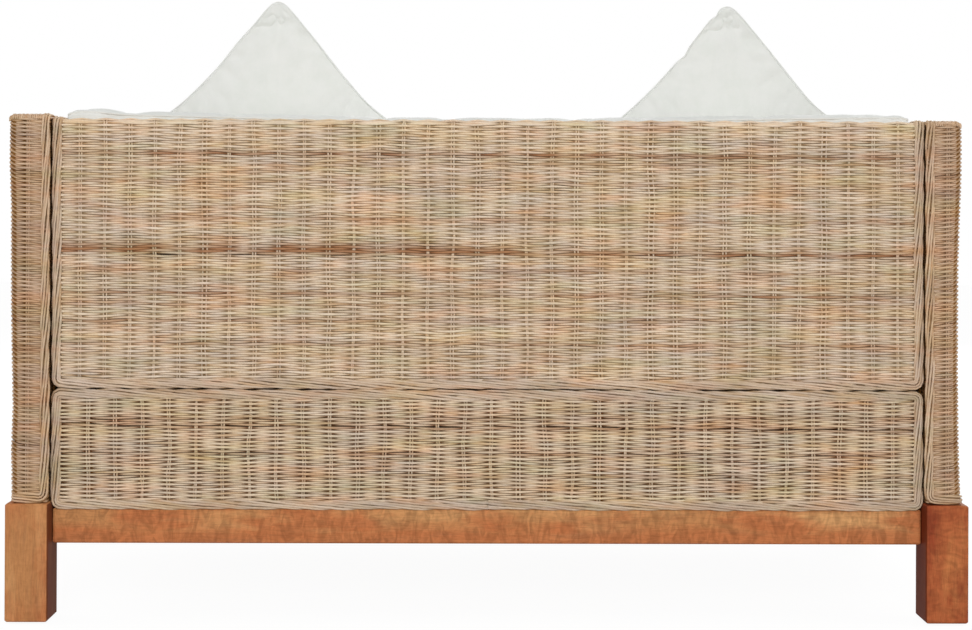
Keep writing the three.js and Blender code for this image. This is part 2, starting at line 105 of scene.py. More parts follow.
def mixed(material, factor, first, second, blend="MIX"):
    """Two colours mixed by a factor, and the colour output."""
    options = {"data_type": "RGBA", "blend_type": blend}
    node = shader_node(material, "ShaderNodeMix", options, _0=factor, _6=first, _7=second)
    return node.outputs[2]


def multiplied(material, colour, factor, stops):
    """A colour multiplied by the ramp through (place, colour) stops."""
    return mixed(material, 1.0, colour, ramp(material, factor, stops), blend="MULTIPLY")


def maths(material, operation, *values):
    """The result of a Math node on up to three values: numbers, or outputs of other nodes."""
    inputs = {f"_{place}": value for place, value in enumerate(values)}
    return shader_node(material, "ShaderNodeMath", {"operation": operation}, **inputs).outputs[0]


def map_range(material, value, start, end, low, high):
    """A value carried over evenly, from low at start to high at end."""
    inputs = {"Value": value, "_1": start, "_2": end, "_3": low, "_4": high}
    return shader_node(material, "ShaderNodeMapRange", **inputs).outputs["Result"]


def noise(material, vector, scale, detail=2.0, roughness=0.5, distortion=0.0):
    """A noise texture's value from 0 to 1."""
    inputs = {"Vector": vector, "Scale": scale, "Detail": detail, "Roughness": roughness}
    node = shader_node(material, "ShaderNodeTexNoise", Distortion=distortion, **inputs)
    return node.outputs["Fac"]


def place(material, scale=(1, 1, 1), turn=(0, 0, 0), shift=(0, 0, 0)):
    """Object coordinates, shifted, turned and scaled."""
    where = shader_node(material, "ShaderNodeTexCoord").outputs["Object"]
    inputs = {"Vector": where, "Scale": scale, "Rotation": turn, "Location": shift}
    return shader_node(material, "ShaderNodeMapping", **inputs).outputs["Vector"]


def bump(material, shader, height, distance, strength=1.0):
    """Gives the shader a bump from a height of 0 to 1, over a distance in metres."""
    inputs = {"Height": height, "Distance": distance, "Strength": strength}
    node = shader_node(material, "ShaderNodeBump", **inputs)
    material.node_tree.links.new(node.outputs["Normal"], shader.inputs["Normal"])


def wood(name, along, colours, roughness, shift=(0, 0, 0), red_below=None, painted_shade_within=None, mottle=0.08,
         blotch=(0.48, 0.68, 0.7)):
    """Hardwood whose grain runs along X, Y or Z: long noise gives its figure, patches and streaks, noise
    stretched across the grain its curl, and fine noise its pores. It is redder below the height red_below.
    Where |x| is under the given limit it gets painted shade, a dark red-brown, for the legs' inner faces.
    mottle is the depth of the curl, and blotch gives where the patches' noise starts and ends to redden,
    and how much."""
    pale, main, red, streak = (linear(colour) for colour in colours)
    material, shader = new_material(name, roughness)
    shader.inputs["Specular IOR Level"].default_value = 0.16
    stretch = [1.0, 1.0, 1.0]
    stretch["XYZ".index(along)] = 0.12
    grained = place(material, scale=stretch, shift=shift)
    figure = noise(material, grained, 24, detail=5, roughness=0.6, distortion=0.8)
    colour = ramp(material, figure, [(0.5, main), (0.66, pale)])
    patched = place(material, scale=[part ** 0.5 for part in stretch], shift=shift)
    patches = noise(material, patched, 19, detail=4, roughness=0.6)
    start, end, share = blotch
    reddened = ramp(material, patches, [(start, grey(0)), (end, grey(share))])
    spot = shader_node(material, "ShaderNodeSeparateXYZ", Vector=place(material))
    if red_below:
        ragged = maths(material, "MULTIPLY_ADD", patches, 0.04, spot.outputs["Z"])
        low = map_range(material, ragged, red_below + 0.012, red_below + 0.028, 0.75, 0.0)
        reddened = maths(material, "MAXIMUM", reddened, low)
    colour = mixed(material, reddened, colour, red)
    streaks = noise(material, grained, 80, detail=3, roughness=0.7)
    streaked = ramp(material, streaks, [(0.50, grey(0)), (0.72, grey(0.32))])
    colour = mixed(material, streaked, colour, streak)
    curled = place(material, scale=[0.45 if part == 1.0 else 1.0 for part in stretch], shift=shift)
    curl = noise(material, curled, 75, detail=3, roughness=0.5, distortion=1.6)
    low = 1 - 1.5 * mottle
    ripple = [(0.36, (low, 0.99 * low, 0.97 * low, 1)), (0.62, grey(1 + mottle))]
    colour = multiplied(material, colour, curl, ripple)
    pores = noise(material, grained, 420, detail=3, roughness=0.7)
    colour = multiplied(material, colour, pores, [(0.32, (0.82, 0.80, 0.78, 1)), (0.55, grey(1.03))])
    # Painted shade: the legs' inner faces, under the sofa, are made dark red-brown.
    if painted_shade_within:
        side = maths(material, "ABSOLUTE", spot.outputs["X"])
        shade = map_range(material, side, painted_shade_within, painted_shade_within + 0.001, 0.86, 0.0)
        colour = mixed(material, shade, colour, (0.11, 0.014, 0.001, 1))
    material.node_tree.links.new(colour, shader.inputs["Base Color"])
    bump(material, shader, pores, 0.0004, 0.35)
    return material


def finish_node(name, material):
    """Gives a CAD node its material."""
    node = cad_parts[name]
    node.data.materials.clear()
    node.data.materials.append(material)


wood_colours = (WOOD_PALE, WOOD_MAIN, WOOD_RED, WOOD_STREAK)
red_colours = (RED_LEG_PALE, RED_LEG_MAIN, RED_LEG_DARK, RED_LEG_STREAK)
# The legs' inner side faces, where |x| is under LEG_INNER_FACE, get painted shade.
upright_wood = wood("mango_upright", "Z", wood_colours, 0.68, painted_shade_within=LEG_INNER_FACE, mottle=0.04)
red_upright_wood = wood("mango_upright_red", "Z", red_colours, 0.68, (0.7, 0.2, 0.1),
                        painted_shade_within=LEG_INNER_FACE, mottle=0.12, blotch=(0.43, 0.60, 1.0))
crosswise_wood = wood("mango_crosswise", "X", wood_colours, 0.68, (0.4, 0, 0), red_below=RAIL_RED_BELOW,
                      mottle=0.14, blotch=(0.45, 0.63, 0.8))
endwise_wood = wood("mango_endwise", "Y", wood_colours, 0.68)
for end in ("front", "rear"):
    finish_node(f"base_rail_{end}", crosswise_wood)
    finish_node(f"leg_{end}_left", upright_wood)
    finish_node(f"leg_{end}_right", red_upright_wood)
for name in ("base_rail_left", "base_rail_right", "base_bearer"):
    finish_node(name, endwise_wood)

# The glides: round black nylon discs with a pin, pressed into the foot of each leg.
GLIDE_COLOUR = (42, 37, 33)

nylon, shader = new_material("glide_nylon", 0.5)
shade = noise(nylon, place(nylon), 180, detail=3)
dark, pale = linear(GLIDE_COLOUR), linear([1.4 * part for part in GLIDE_COLOUR])
nylon.node_tree.links.new(ramp(nylon, shade, [(0.3, dark), (0.8, pale)]), shader.inputs["Base Color"])
for end in ("front", "rear"):
    for hand in ("left", "right"):
        finish_node(f"glide_{end}_{hand}", nylon)

# The pole frames: stripped rattan poles, pale yellow-brown, with darker rings at the nodes of the cane.
# They are coped over each other and stand in the legs and rails on turned spigots.
POLE_PALE = (205, 172, 122)
POLE_DARK = (150, 112, 68)


def pole_rattan(name, along):
    """Pole skin: fine lengthwise fibres, and a dark ring at intervals along the pole."""
    material, shader = new_material(name, 0.45)
    stretch = [1.0, 1.0, 1.0]
    stretch["XYZ".index(along)] = 0.03
    fibres = noise(material, place(material, scale=stretch), 300, detail=3)
    colour = ramp(material, fibres, [(0.3, linear(POLE_DARK)), (0.6, linear(POLE_PALE))])
    options = {"wave_type": "BANDS", "bands_direction": along, "wave_profile": "SIN"}
    rings = shader_node(material, "ShaderNodeTexWave", options, Vector=place(material), Scale=1.4,
                        Distortion=1.5)
    dark = ramp(material, rings.outputs["Fac"], [(0.0, grey(1)), (0.03, grey(0))])
    colour = mixed(material, dark, colour, linear(POLE_DARK))
    material.node_tree.links.new(colour, shader.inputs["Base Color"])
    bump(material, shader, fibres, 0.0003, 0.4)
    return material


upright_pole, crosswise_pole, endwise_pole = (pole_rattan(f"pole_{axis.lower()}", axis) for axis in "ZXY")
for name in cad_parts:
    if "_post" in name or "_stile" in name:
        finish_node(name, upright_pole)
    elif "_pole" in name:
        finish_node(name, endwise_pole if name.startswith("arm") else crosswise_pole)

# The cane of the seat box: round unpeeled cane about 3 mm thick, woven over and under pairs of upright
# cores. Each round goes about the whole pole frame of its panel, so a panel has a skin on every side.
CANE_PALE = (236, 217, 191)
CANE_MAIN = (230, 208, 179)
CANE_TAN = (217, 187, 149)
CANE_BROWN = (162, 108, 64)
CANE_GREENISH = (0.92, 0.96, 0.89, 1)
CANE_PINKISH = (1.02, 0.93, 0.89, 1)
CANE_RUSTY = (0.97, 0.80, 0.66, 1)
CANE_STRAW = (1.00, 0.97, 0.87, 1)
CANE_GREY = (0.95, 0.965, 1.02, 1)
# A strand's number sets its tone and whether it starts over or under, and seeds what is random in it.
SEAT_NUMBERS = {"rear": 1000, "front": 2000}
SEAT_CANE_PITCH = 0.00292
SEAT_SWING = 0.0026
SEAT_STAKES = np.linspace(0.6028, -0.6121, 33)
# Stakes at which the strands behind get deeper painted shade.
SEAT_SHADED_STAKES = (1, 20)
SEAT_STREAKS = ((0.274, 0.004, 0.55, 0.0008, 0.004, 1), (0.286, 0.003, 0.45, 0.0003, -0.004, 1),
                (0.236, 0.003, 0.45, 0.0003, 0.002, 1), (0.205, 0.003, 0.35, 0, 0, 1))
SEAT_ROPE_SAG = 0.0015
SEAT_ROPE_BEND = 0.007
PANEL_HALF_LENGTH = 0.6135
PANEL_INNER_FACE = 0.273
PANEL_OUTER_FACE = 0.325
SKIN_INSET = 0.003
SKIN_CORNER = 0.011
SKIN_EDGE = 0.005
CORNER_POINTS = 25
RISE_POINTS = 7
FIRST_ROW_UP = 0.004
SEAT_LAST_ROW_DOWN = 0.003
FACE_CUTS = 6
HIDDEN_CUTS = 2
ROW_PARTING_REACH = 0.012
PRESSED = 0.26
SWING_POWER = 1.9
STAKE_STRAY = 0.0009
STAKE_STRAY_END = 0.615
CORE_THICK = 0.0023
CORE_APART = 0.0030
CORE_WIDE_APART = 2.1 * CORE_APART
CORE_STIR = 0.0004
CORE_FOOT = 0.002
# The cores stand in among the strands and get this much painted shade all along.
CORE_SHADE = 0.08
ROPE_STRANDS = 7
ROPE_WIDE = 0.0145
ROPE_DEEP = 0.0076
ROPE_THICK = 0.0035
ROPE_TURN = 0.26
ROPE_WOBBLE = 0.0006
ROPE_OVERHANG = 0.0034
ROPE_PROUD = 0.0032
ROPE_STEP = 0.004
ROPE_WOBBLE_LENGTHS = (0.031, 0.013)
CANE_SIDES = 5
CORE_SIDES = 6
ROPE_SIDES = 8
ARC_POINTS = 7
BEND_POINTS = 9
OVAL_POINTS = 721
UPRIGHT_POINTS = 12
WANDER_WAVES = 14
GIRTH_SPREAD = 0.05
ROPE_GIRTH_SPREAD = 0.04
BROWNEST = 0.9


def cane(name, level, painted_shade):
    """Cane skin. UV map 'strand' gives metres along a strand and the strand's number, which set the tone.
    Attribute 'brown' stains it. A second attribute darkens it with painted shade, as deep as the last
    argument and warmer than the cane, where a strand lies behind a stake, in a bend or out of the light.
    Patches of tint run along the rows, and level is the lightness of the whole, for each of red, green and
    blue."""
    material, shader = new_material(name, 0.6)
    lay = shader_node(material, "ShaderNodeUVMap", {"uv_map": "strand"}).outputs["UV"]
    parts = shader_node(material, "ShaderNodeSeparateXYZ", Vector=lay)
    number = maths(material, "FLOOR", parts.outputs["Y"])
    own = shader_node(material, "ShaderNodeTexWhiteNoise", {"noise_dimensions": "1D"}, W=number)
    spread = maths(material, "MULTIPLY", number, 7.31)
    run = shader_node(material, "ShaderNodeCombineXYZ", X=parts.outputs["X"], Y=spread).outputs[0]
    patches = noise(material, run, 11, detail=3, roughness=0.6)
    fine = noise(material, run, 75, detail=4, roughness=0.7)
    pale, main, tan, brown = (linear([part * share for part, share in zip(colour, level)])
                              for colour in (CANE_PALE, CANE_MAIN, CANE_TAN, CANE_BROWN))
    colour = ramp(material, patches, [(0.33, tan), (0.47, main), (0.66, pale)])
    tint = noise(material, place(material, scale=(1, 1, 5)), 9, detail=3, roughness=0.55)
    colour = multiplied(material, colour, tint, [(0.34, CANE_GREENISH), (0.46, grey(1)), (0.53, grey(1)),
                                                 (0.62, CANE_PINKISH), (0.74, CANE_RUSTY)])
    faded = noise(material, place(material, scale=(1, 1, 3.5), shift=(0.3, 5.1, 2.2)), 11, detail=3)
    colour = multiplied(material, colour, faded, [(0.36, CANE_STRAW), (0.47, grey(1)), (0.53, grey(1)),
                                                  (0.64, CANE_GREY)])
    light = noise(material, place(material, scale=(1, 1, 6), shift=(3.1, 1.7, 0.4)), 9, detail=3)
    colour = multiplied(material, colour, light, [(0.32, (0.90, 0.90, 0.91, 1)), (0.62, grey(1.04))])
    stain = shader_node(material, "ShaderNodeAttribute", {"attribute_name": "brown"}).outputs["Fac"]
    colour = mixed(material, stain, colour, brown)
    tone = own.outputs["Value"]
    colour = multiplied(material, colour, tone, [(0.0, (0.93, 0.92, 0.91, 1)), (1.0, grey(1.05))])
    colour = multiplied(material, colour, fine, [(0.30, (0.90, 0.88, 0.86, 1)), (0.55, grey(1.02))])
    # Painted shade: the shade attribute darkens the colour, more in blue than in red, where no light
    # reaches.
    deep = shader_node(material, "ShaderNodeAttribute", {"attribute_name": "painted_shade"}).outputs["Fac"]
    dark = [max(0, 1 - painted_shade * share) for share in (0.88, 1.08, 1.36)]
    colour = mixed(material, deep, colour, mixed(material, 1.0, colour, (*dark, 1), blend="MULTIPLY"))
    material.node_tree.links.new(colour, shader.inputs["Base Color"])
    bump(material, shader, fine, 0.0004, 0.5)
    return material


def unit(vectors):
    """Vectors brought to length 1 along the last axis."""
    return vectors / np.linalg.norm(vectors, axis=-1, keepdims=True)


def corner_pairs(near, far, low, high):
    """A pair of values for each of the four corners of quads, in the order in which tubes makes them."""
    first, second = np.stack([near, far, far, near], -1), np.stack([low, low, high, high], -1)
    return np.stack([first, second], -1).reshape(-1, 2)


def tubes(name, centres, outward, radius, sides, closed=False, first_number=0, brown=0, painted_shade=0):
    """A mesh of round strands. centres and outward have a row for each strand and a place for each station.
    A ring's points are centre + radius * (cos a * outward + sin a * across), with across square to the
    strand and to outward. Open strands get end caps. UV map OFBake gives each strand a row of its own, and
    'strand', 'brown' and the painted shade attribute are what the cane's skin reads."""
    strands, stations, _ = centres.shape
    ahead = np.gradient(centres, axis=1)
    if closed:
        ahead = np.roll(centres, -1, axis=1) - np.roll(centres, 1, axis=1)
    ahead = unit(ahead)
    across = unit(np.cross(outward, ahead))
    outward = np.cross(ahead, across)
    angle = 2 * np.pi * (np.arange(sides) + 0.5) / sides
    thick = np.broadcast_to(radius, (strands, stations))[:, :, None, None]
    points = centres[:, :, None] + thick * (np.cos(angle)[:, None] * outward[:, :, None]
                                            + np.sin(angle)[:, None] * across[:, :, None])
    spans = stations if closed else stations - 1
    strand, span, side = np.meshgrid(np.arange(strands), np.arange(spans), np.arange(sides), indexing="ij")
    near, far = strand * stations + span, strand * stations + (span + 1) % stations
    quads = np.stack([near * sides + side, far * sides + side, far * sides + (side + 1) % sides,
                      near * sides + (side + 1) % sides], axis=-1).reshape(-1, 4)
    bake = corner_pairs(span / spans, (span + 1) / spans, (strand + side / sides) / strands,
                        (strand + (side + 1) / sides) / strands)
    step = np.linalg.norm(np.roll(centres, -1, axis=1) - centres, axis=2)
    reach = np.concatenate([np.zeros((strands, 1)), np.cumsum(step, axis=1)], axis=1)
    row = strand + first_number + 0.5
    lay = corner_pairs(reach[strand, span], reach[strand, span + 1], row, row)
    corners, sizes = quads.ravel(), np.full(len(quads), 4)
    if not closed:
        first = np.arange(strands)[:, None] * stations * sides + np.arange(sides)
        last = first[:, ::-1] + (stations - 1) * sides
        caps = np.stack([first, last], axis=1).reshape(-1)
        corners = np.concatenate([corners, caps])
        sizes = np.concatenate([sizes, np.full(2 * strands, sides)])
        middle = (np.repeat(np.arange(strands), 2 * sides) + 0.5) / strands
        ends = np.tile(np.repeat([0.0, 1.0], sides), strands)
        bake = np.concatenate([bake, np.stack([ends, middle], -1)])
        number = np.repeat(np.arange(strands), 2 * sides) + first_number + 0.5
        lay = np.concatenate([lay, np.stack([0 * number, number], -1)])
    piece = mesh_piece(name, points.reshape(-1, 3), corners, sizes)
    for map_name, values in (("OFBake", bake), ("strand", lay)):
        piece.data.uv_layers.new(name=map_name).data.foreach_set("uv", values.ravel())
    for layer_name, values in (("brown", brown), ("painted_shade", painted_shade)):
        layer = piece.data.attributes.new(layer_name, "FLOAT", "POINT")
        values = np.broadcast_to(values, (strands, stations)).ravel()
        layer.data.foreach_set("value", np.repeat(values, sides))
    return piece


def mesh_piece(name, points, corners, sizes):
    """An object with a smooth-shaded mesh, from its points, its faces' corners in a row, and the number of
    corners of each face."""
    mesh = bpy.data.meshes.new(name)
    mesh.vertices.add(len(points))
    mesh.vertices.foreach_set("co", points.ravel())
    mesh.loops.add(len(corners))
    mesh.loops.foreach_set("vertex_index", corners)
    mesh.polygons.add(len(sizes))
    mesh.polygons.foreach_set("loop_start", np.cumsum(sizes) - sizes)
    mesh.update(calc_edges=True)
    mesh.polygons.foreach_set("use_smooth", np.ones(len(sizes), dtype=bool))
    piece = bpy.data.objects.new(name, mesh)
    bpy.context.collection.objects.link(piece)
    return piece


def fit_piece(piece, material, slot, *nodes):
    """Gives a new piece its material, lets it ride on the sofa, and hides the CAD nodes it stands for."""
    piece.data.materials.append(material)
    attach(piece, "root")
    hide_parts(*nodes)


def distances(line):
    """How far along a line each of its points lies."""
    return np.concatenate([[0], np.cumsum(np.linalg.norm(np.diff(line, axis=0), axis=1))])


def rounded_plan(low, high):
    """A dense closed line round a panel seen from above, anticlockwise from the middle of its corner at
    high x and high y. Each corner is an arc: its middle + bend * (cos a, sin a). Gives the distance
    along it, the points, and the outward directions, each as one array that ends where it starts."""
    low, high = np.array(low) + SKIN_INSET, np.array(high) - SKIN_INSET
    bend = SKIN_CORNER - SKIN_INSET
    angle = np.radians(np.linspace(0, 90, CORNER_POINTS) + np.arange(4)[:, None] * 90)
    out = np.stack([np.cos(angle), np.sin(angle)], axis=-1)
    sign = np.array([[1, 1], [-1, 1], [-1, -1], [1, -1]])
    middle = np.where(sign > 0, high - bend, low + bend)
    line = (middle[:, None] + bend * out).reshape(-1, 2)
    out = out.reshape(-1, 2)
    line, out = (np.roll(values, -(CORNER_POINTS // 2), axis=0) for values in (line, out))
    line, out = np.concatenate([line, line[:1]]), np.concatenate([out, out[:1]])
    return distances(line), line, out


def face_part(face):
    """The part of a plan on one of its faces, from corner to corner: 0 rear, 1 low X, 2 front, 3 high X."""
    return slice(CORNER_POINTS * face, CORNER_POINTS * (face + 1) + 1)


def on_face(plan, face, places):
    """Distances along a plan of places on one of its faces."""
    part = face_part(face)
    along = plan[1][part, face % 2]
    order = np.argsort(along)
    return np.interp(places, along[order], plan[0][part][order])


def panel_plan(places):
    """The plan round a panel of the seat or back, the distances along it of its stakes, and how many
    stations lie between each and the next. The stakes stand at places on both faces, and one in each end."""
    plan = rounded_plan((-PANEL_HALF_LENGTH, PANEL_INNER_FACE), (PANEL_HALF_LENGTH, PANEL_OUTER_FACE))
    middle = (PANEL_INNER_FACE + PANEL_OUTER_FACE) / 2
    stakes = np.concatenate([on_face(plan, 0, places), on_face(plan, 1, [middle]),
                             on_face(plan, 2, places)[::-1], on_face(plan, 3, [middle])])
    stakes = np.append(stakes, plan[0][-1] + stakes[0])
    return plan, stakes, np.repeat([FACE_CUTS, HIDDEN_CUTS], [len(places) - 1, len(places) + 3])


def stations_between(stakes, cuts):
    """Stations along a round, cuts[i] of them in the interval after stake i. Gives their distances, and
    their phases: a whole number at each stake."""
    ends = np.repeat(np.arange(len(cuts)), cuts)
    inside = np.concatenate([np.arange(cut) / cut for cut in cuts])
    return stakes[ends] + (stakes[ends + 1] - stakes[ends]) * inside, ends + inside


def swing(phase):
    """How far a strand stands out at a phase, from -1 to 1: a cosine to a power, so that the strands lie
    level between the stakes and part only close to them."""
    wave = np.cos(np.pi * phase)
    return np.sign(wave) * np.abs(wave) ** SWING_POWER


def wander(random, share, rows, size):
    """A slow unevenness of the rows: a sum of waves, sin(2 pi m share + q row + start), each with its own
    whole m, slope q and start."""
    m, q = random.integers(2, 38, WANDER_WAVES), random.normal(0, 0.35, WANDER_WAVES)
    start = random.uniform(0, 2 * np.pi, WANDER_WAVES)
    turn = 2 * np.pi * m * share[None, :, None] + q * rows[:, None, None] + start
    return size * np.sin(turn).sum(axis=2) * (2 / WANDER_WAVES) ** 0.5


def strayed(x, height):
    """How far a stake has strayed along X at a height: a sum of slow waves, less towards the ends."""
    waves = (np.sin(21 * x + 27 * height + 1) + np.sin(53 * height - 37 * x + 2)
             + 0.7 * np.sin(83 * x + 71 * height))
    return STAKE_STRAY * waves * (1 - (x / STAKE_STRAY_END) ** 6).clip(0, 1)


def panel_form(x, y, heights):
    """How the rounds of a panel depart from its plan: they only follow the stakes that have strayed."""
    return 0, strayed(x, heights), 0, 0, 0


def woven_rounds(name, plan, stakes, cuts, heights, thick, sway, number, streaks, shaded_stakes=(),
                 uneven=0.15, form=panel_form):
    """Closed rounds of cane over the stakes. A strand's place is the plan's point + swing * outward, and
    strand k goes the other way to strand k + 1. A streak is a stained row: its height, spread, depth, how
    far the rows part there, its slope along X, and its strength at the end at low X. Where a strand lies
    behind a stake it gets painted shade, deeper at the listed shaded stakes, where one sees in between the
    cores. form gives, for places and heights: how far the strands rise, how far they stand aside along X,
    how much of their swing they lose, where their bends at a corner are thinner and get painted shade, and
    how much painted shade lies where no light reaches."""
    distance, line, out = plan
    random = np.random.default_rng(number + 11)
    reach, phase = stations_between(stakes, cuts)
    x, y, nx, ny = (np.interp(reach, distance, part) for part in (*line.T, *out.T))
    rows = np.arange(len(heights))
    outward = np.broadcast_to(unit(np.stack([nx, ny, 0 * nx], -1)), (len(rows), len(reach), 3))
    wave = swing(phase[None] + (rows[:, None] + number) % 2)
    share = reach / distance[-1]
    height = heights[:, None] + wander(random, share, rows, uneven * thick)
    brown = 0 * height
    for level, tall, depth, parting, slope, far_end in streaks:
        strong = (0.9 + 0.3 * wander(random, share, rows[:1], 1.0)).clip(0.35, 1.3)
        strong = strong * (far_end + (1 - far_end) * (0.5 + 2.5 * x).clip(0, 1))
        beyond = heights[:, None] - level - slope * x
        brown = brown + depth * strong * np.exp(-(beyond / tall) ** 2)
        height = height + parting * strong * np.sign(beyond) * np.exp(-np.abs(beyond) / ROW_PARTING_REACH)
    brown = (brown * random.uniform(0.7, 1.0, (len(rows), 1))).clip(0, BROWNEST)
    rise, aside, calm, bent, unlit = form(x, y, heights[:, None])
    centres = np.stack(np.broadcast_arrays(x + aside, y, height + rise), -1)
    centres = centres + (sway * (1 - calm) * wave)[..., None] * outward
    girth = thick / 2 * (1 + GIRTH_SPREAD * random.normal(size=(len(rows), 1)).clip(-2, 2))
    girth = girth * (1 + PRESSED * ((1 + wave) / 2) ** 1.5) * (1 - 0.15 * bent * (1 - wave))
    # Painted shade: strands behind a stake, deeper at the shaded stakes, at thin bends by a corner and where
    # no light reaches.
    painted_shade = (-wave).clip(0, 1) ** 1.2 * (1 + 0.8 * np.isin(phase, shaded_stakes))
    painted_shade = np.maximum(np.maximum(painted_shade, bent * (1.1 - 1.05 * wave)), unlit)
    return tubes(name, centres, outward, girth, CANE_SIDES, closed=True, first_number=number,
                 brown=brown, painted_shade=painted_shade)


def over_the_top(outer, inner, foot, top):
    """A section up one face of a panel, over its rounded top and down the other face: sides, heights and
    outward directions. The two top edges are arcs: middle + SKIN_EDGE * (cos a, sin a)."""
    angle = np.radians(np.linspace(0, 90, ARC_POINTS))
    arc = np.stack([np.cos(angle), np.sin(angle)], -1)
    outer, inner, top = outer - SKIN_INSET, inner + SKIN_INSET, top - SKIN_INSET
    rise = np.linspace(foot + CORE_FOOT, top - SKIN_EDGE, RISE_POINTS + 1)[:-1]
    points = np.concatenate([np.stack([np.full(RISE_POINTS, outer), rise], -1),
                             [outer - SKIN_EDGE, top - SKIN_EDGE] + SKIN_EDGE * arc])
    out = np.concatenate([np.tile([1.0, 0.0], (RISE_POINTS, 1)), arc])
    other = points[::-1] * [-1, 1] + [outer + inner, 0]
    return np.concatenate([points, other]), np.concatenate([out, out[::-1] * [-1, 1]])


def core_hoops(name, stakes, section, lengthwise, number, wide=(), painted_shade=CORE_SHADE):
    """A pair of cores at each stake, bent over the top of the panel: the section, carried to each stake.
    lengthwise is 0 or 1, for a panel that runs along X or Y. The pairs named in wide stand farther apart."""
    line, out = section
    random = np.random.default_rng(number + 5)
    apart = CORE_APART * (1 + 0.25 * random.normal(size=len(stakes)).clip(-1, 2.5))
    apart[list(wide)] = CORE_WIDE_APART
    places = np.stack([stakes - apart / 2, stakes + apart / 2], -1).ravel()
    stir = places[:, None] + CORE_STIR * random.normal(size=(len(places), len(line)))
    across, height = np.broadcast_to(line[:, 0], stir.shape), np.broadcast_to(line[:, 1], stir.shape)
    strayed_stir = stir + strayed(stir, height)
    centres = np.stack([strayed_stir, across, height] if lengthwise == 0 else [across, stir, height], -1)
    sideways, up = np.broadcast_to(out[:, 0], stir.shape), np.broadcast_to(out[:, 1], stir.shape)
    flat = 0 * stir
    outward = np.stack([flat, sideways, up] if lengthwise == 0 else [sideways, flat, up], -1)
    return tubes(name, centres, outward, CORE_THICK / 2, CORE_SIDES, first_number=number, painted_shade=painted_shade)


def upright_cores(name, places, outward, foot, top, number):
    """A pair of straight cores at each place in an end face, along X, from foot to top."""
    pair = np.repeat(np.array(places), 2, axis=0)
    pair[:, 0] += np.tile([-CORE_APART / 2, CORE_APART / 2], len(places))
    height = np.broadcast_to(np.linspace(foot, top, UPRIGHT_POINTS), (len(pair), UPRIGHT_POINTS))
    centres = np.stack(np.broadcast_arrays(pair[:, :1], pair[:, 1:], height), -1)
    out = np.broadcast_to(np.repeat(np.array(outward), 2, axis=0)[:, None], centres.shape)
    return tubes(name, centres, out, CORE_THICK / 2, CORE_SIDES, first_number=number, painted_shade=CORE_SHADE)


def filleted(corners, facings, bend):
    """A line through corners, each rounded by (1 - t)^2 a + 2 t (1 - t) corner + t^2 b, where a and b lie
    bend before and after it, then spaced evenly. facings gives the outward direction of each stretch."""
    corners, facings = np.array(corners, dtype=float), np.array(facings, dtype=float)
    t = np.linspace(0, 1, BEND_POINTS)[:, None]
    line, out = [corners[:1]], [facings[:1]]
    for i in range(1, len(corners) - 1):
        before, after = unit(corners[i - 1] - corners[i]) * bend, unit(corners[i + 1] - corners[i]) * bend
        line.append((1 - t) ** 2 * before + t ** 2 * after + corners[i])
        out.append((1 - t) * facings[i - 1] + t * facings[i])
    line, out = np.concatenate(line + [corners[-1:]]), np.concatenate(out + [facings[-1:]])
    reach = distances(line)
    even = np.linspace(0, reach[-1], int(reach[-1] / ROPE_STEP) + 1)
    spaced = [np.stack([np.interp(even, reach, part) for part in values.T], -1) for values in (line, out)]
    return spaced[0], unit(spaced[1])


def twisted_rope(name, line, out, strands, wide, deep, thick, turn_length, number):
    """A flattened rope of twisted cane along a line. Strand i's centre goes round an ellipse by equal
    lengths: at distance s it is (i / strands + s / turn_length) of the way round."""
    ahead = unit(np.gradient(line, axis=0))
    across = unit(np.cross(out, ahead))
    reach = distances(line)
    angle = np.linspace(0, 2 * np.pi, OVAL_POINTS)
    half_wide, half_deep = (wide - thick) / 2, (deep - thick) / 2
    oval = np.stack([half_wide * np.cos(angle), half_deep * np.sin(angle)], -1)
    round_it = distances(oval)
    share = (np.arange(strands)[:, None] / strands + reach / turn_length) % 1
    aside, proud = (np.interp(share, round_it / round_it[-1], part) for part in oval.T)
    random = np.random.default_rng(number)
    start = random.uniform(0, 2 * np.pi, (2, strands, 1))
    slow, quick = (np.sin(reach / far + begin) for far, begin in zip(ROPE_WOBBLE_LENGTHS, start))
    aside = aside + ROPE_WOBBLE * (slow + 0.6 * quick) + 0.03 * thick * random.normal(size=aside.shape)
    centres = line + aside[..., None] * across + proud[..., None] * out
    outward = unit(aside[..., None] / half_wide * across + proud[..., None] / half_deep * out)
    girth = thick / 2 * (1 + ROPE_GIRTH_SPREAD * random.normal(size=(strands, 1)))
    # Painted shade on the strands where they turn under the rope, towards the panel.
    return tubes(name, centres, outward, girth, ROPE_SIDES, first_number=number,
                 painted_shade=1.5 * (-proud / half_deep).clip(0, 1))


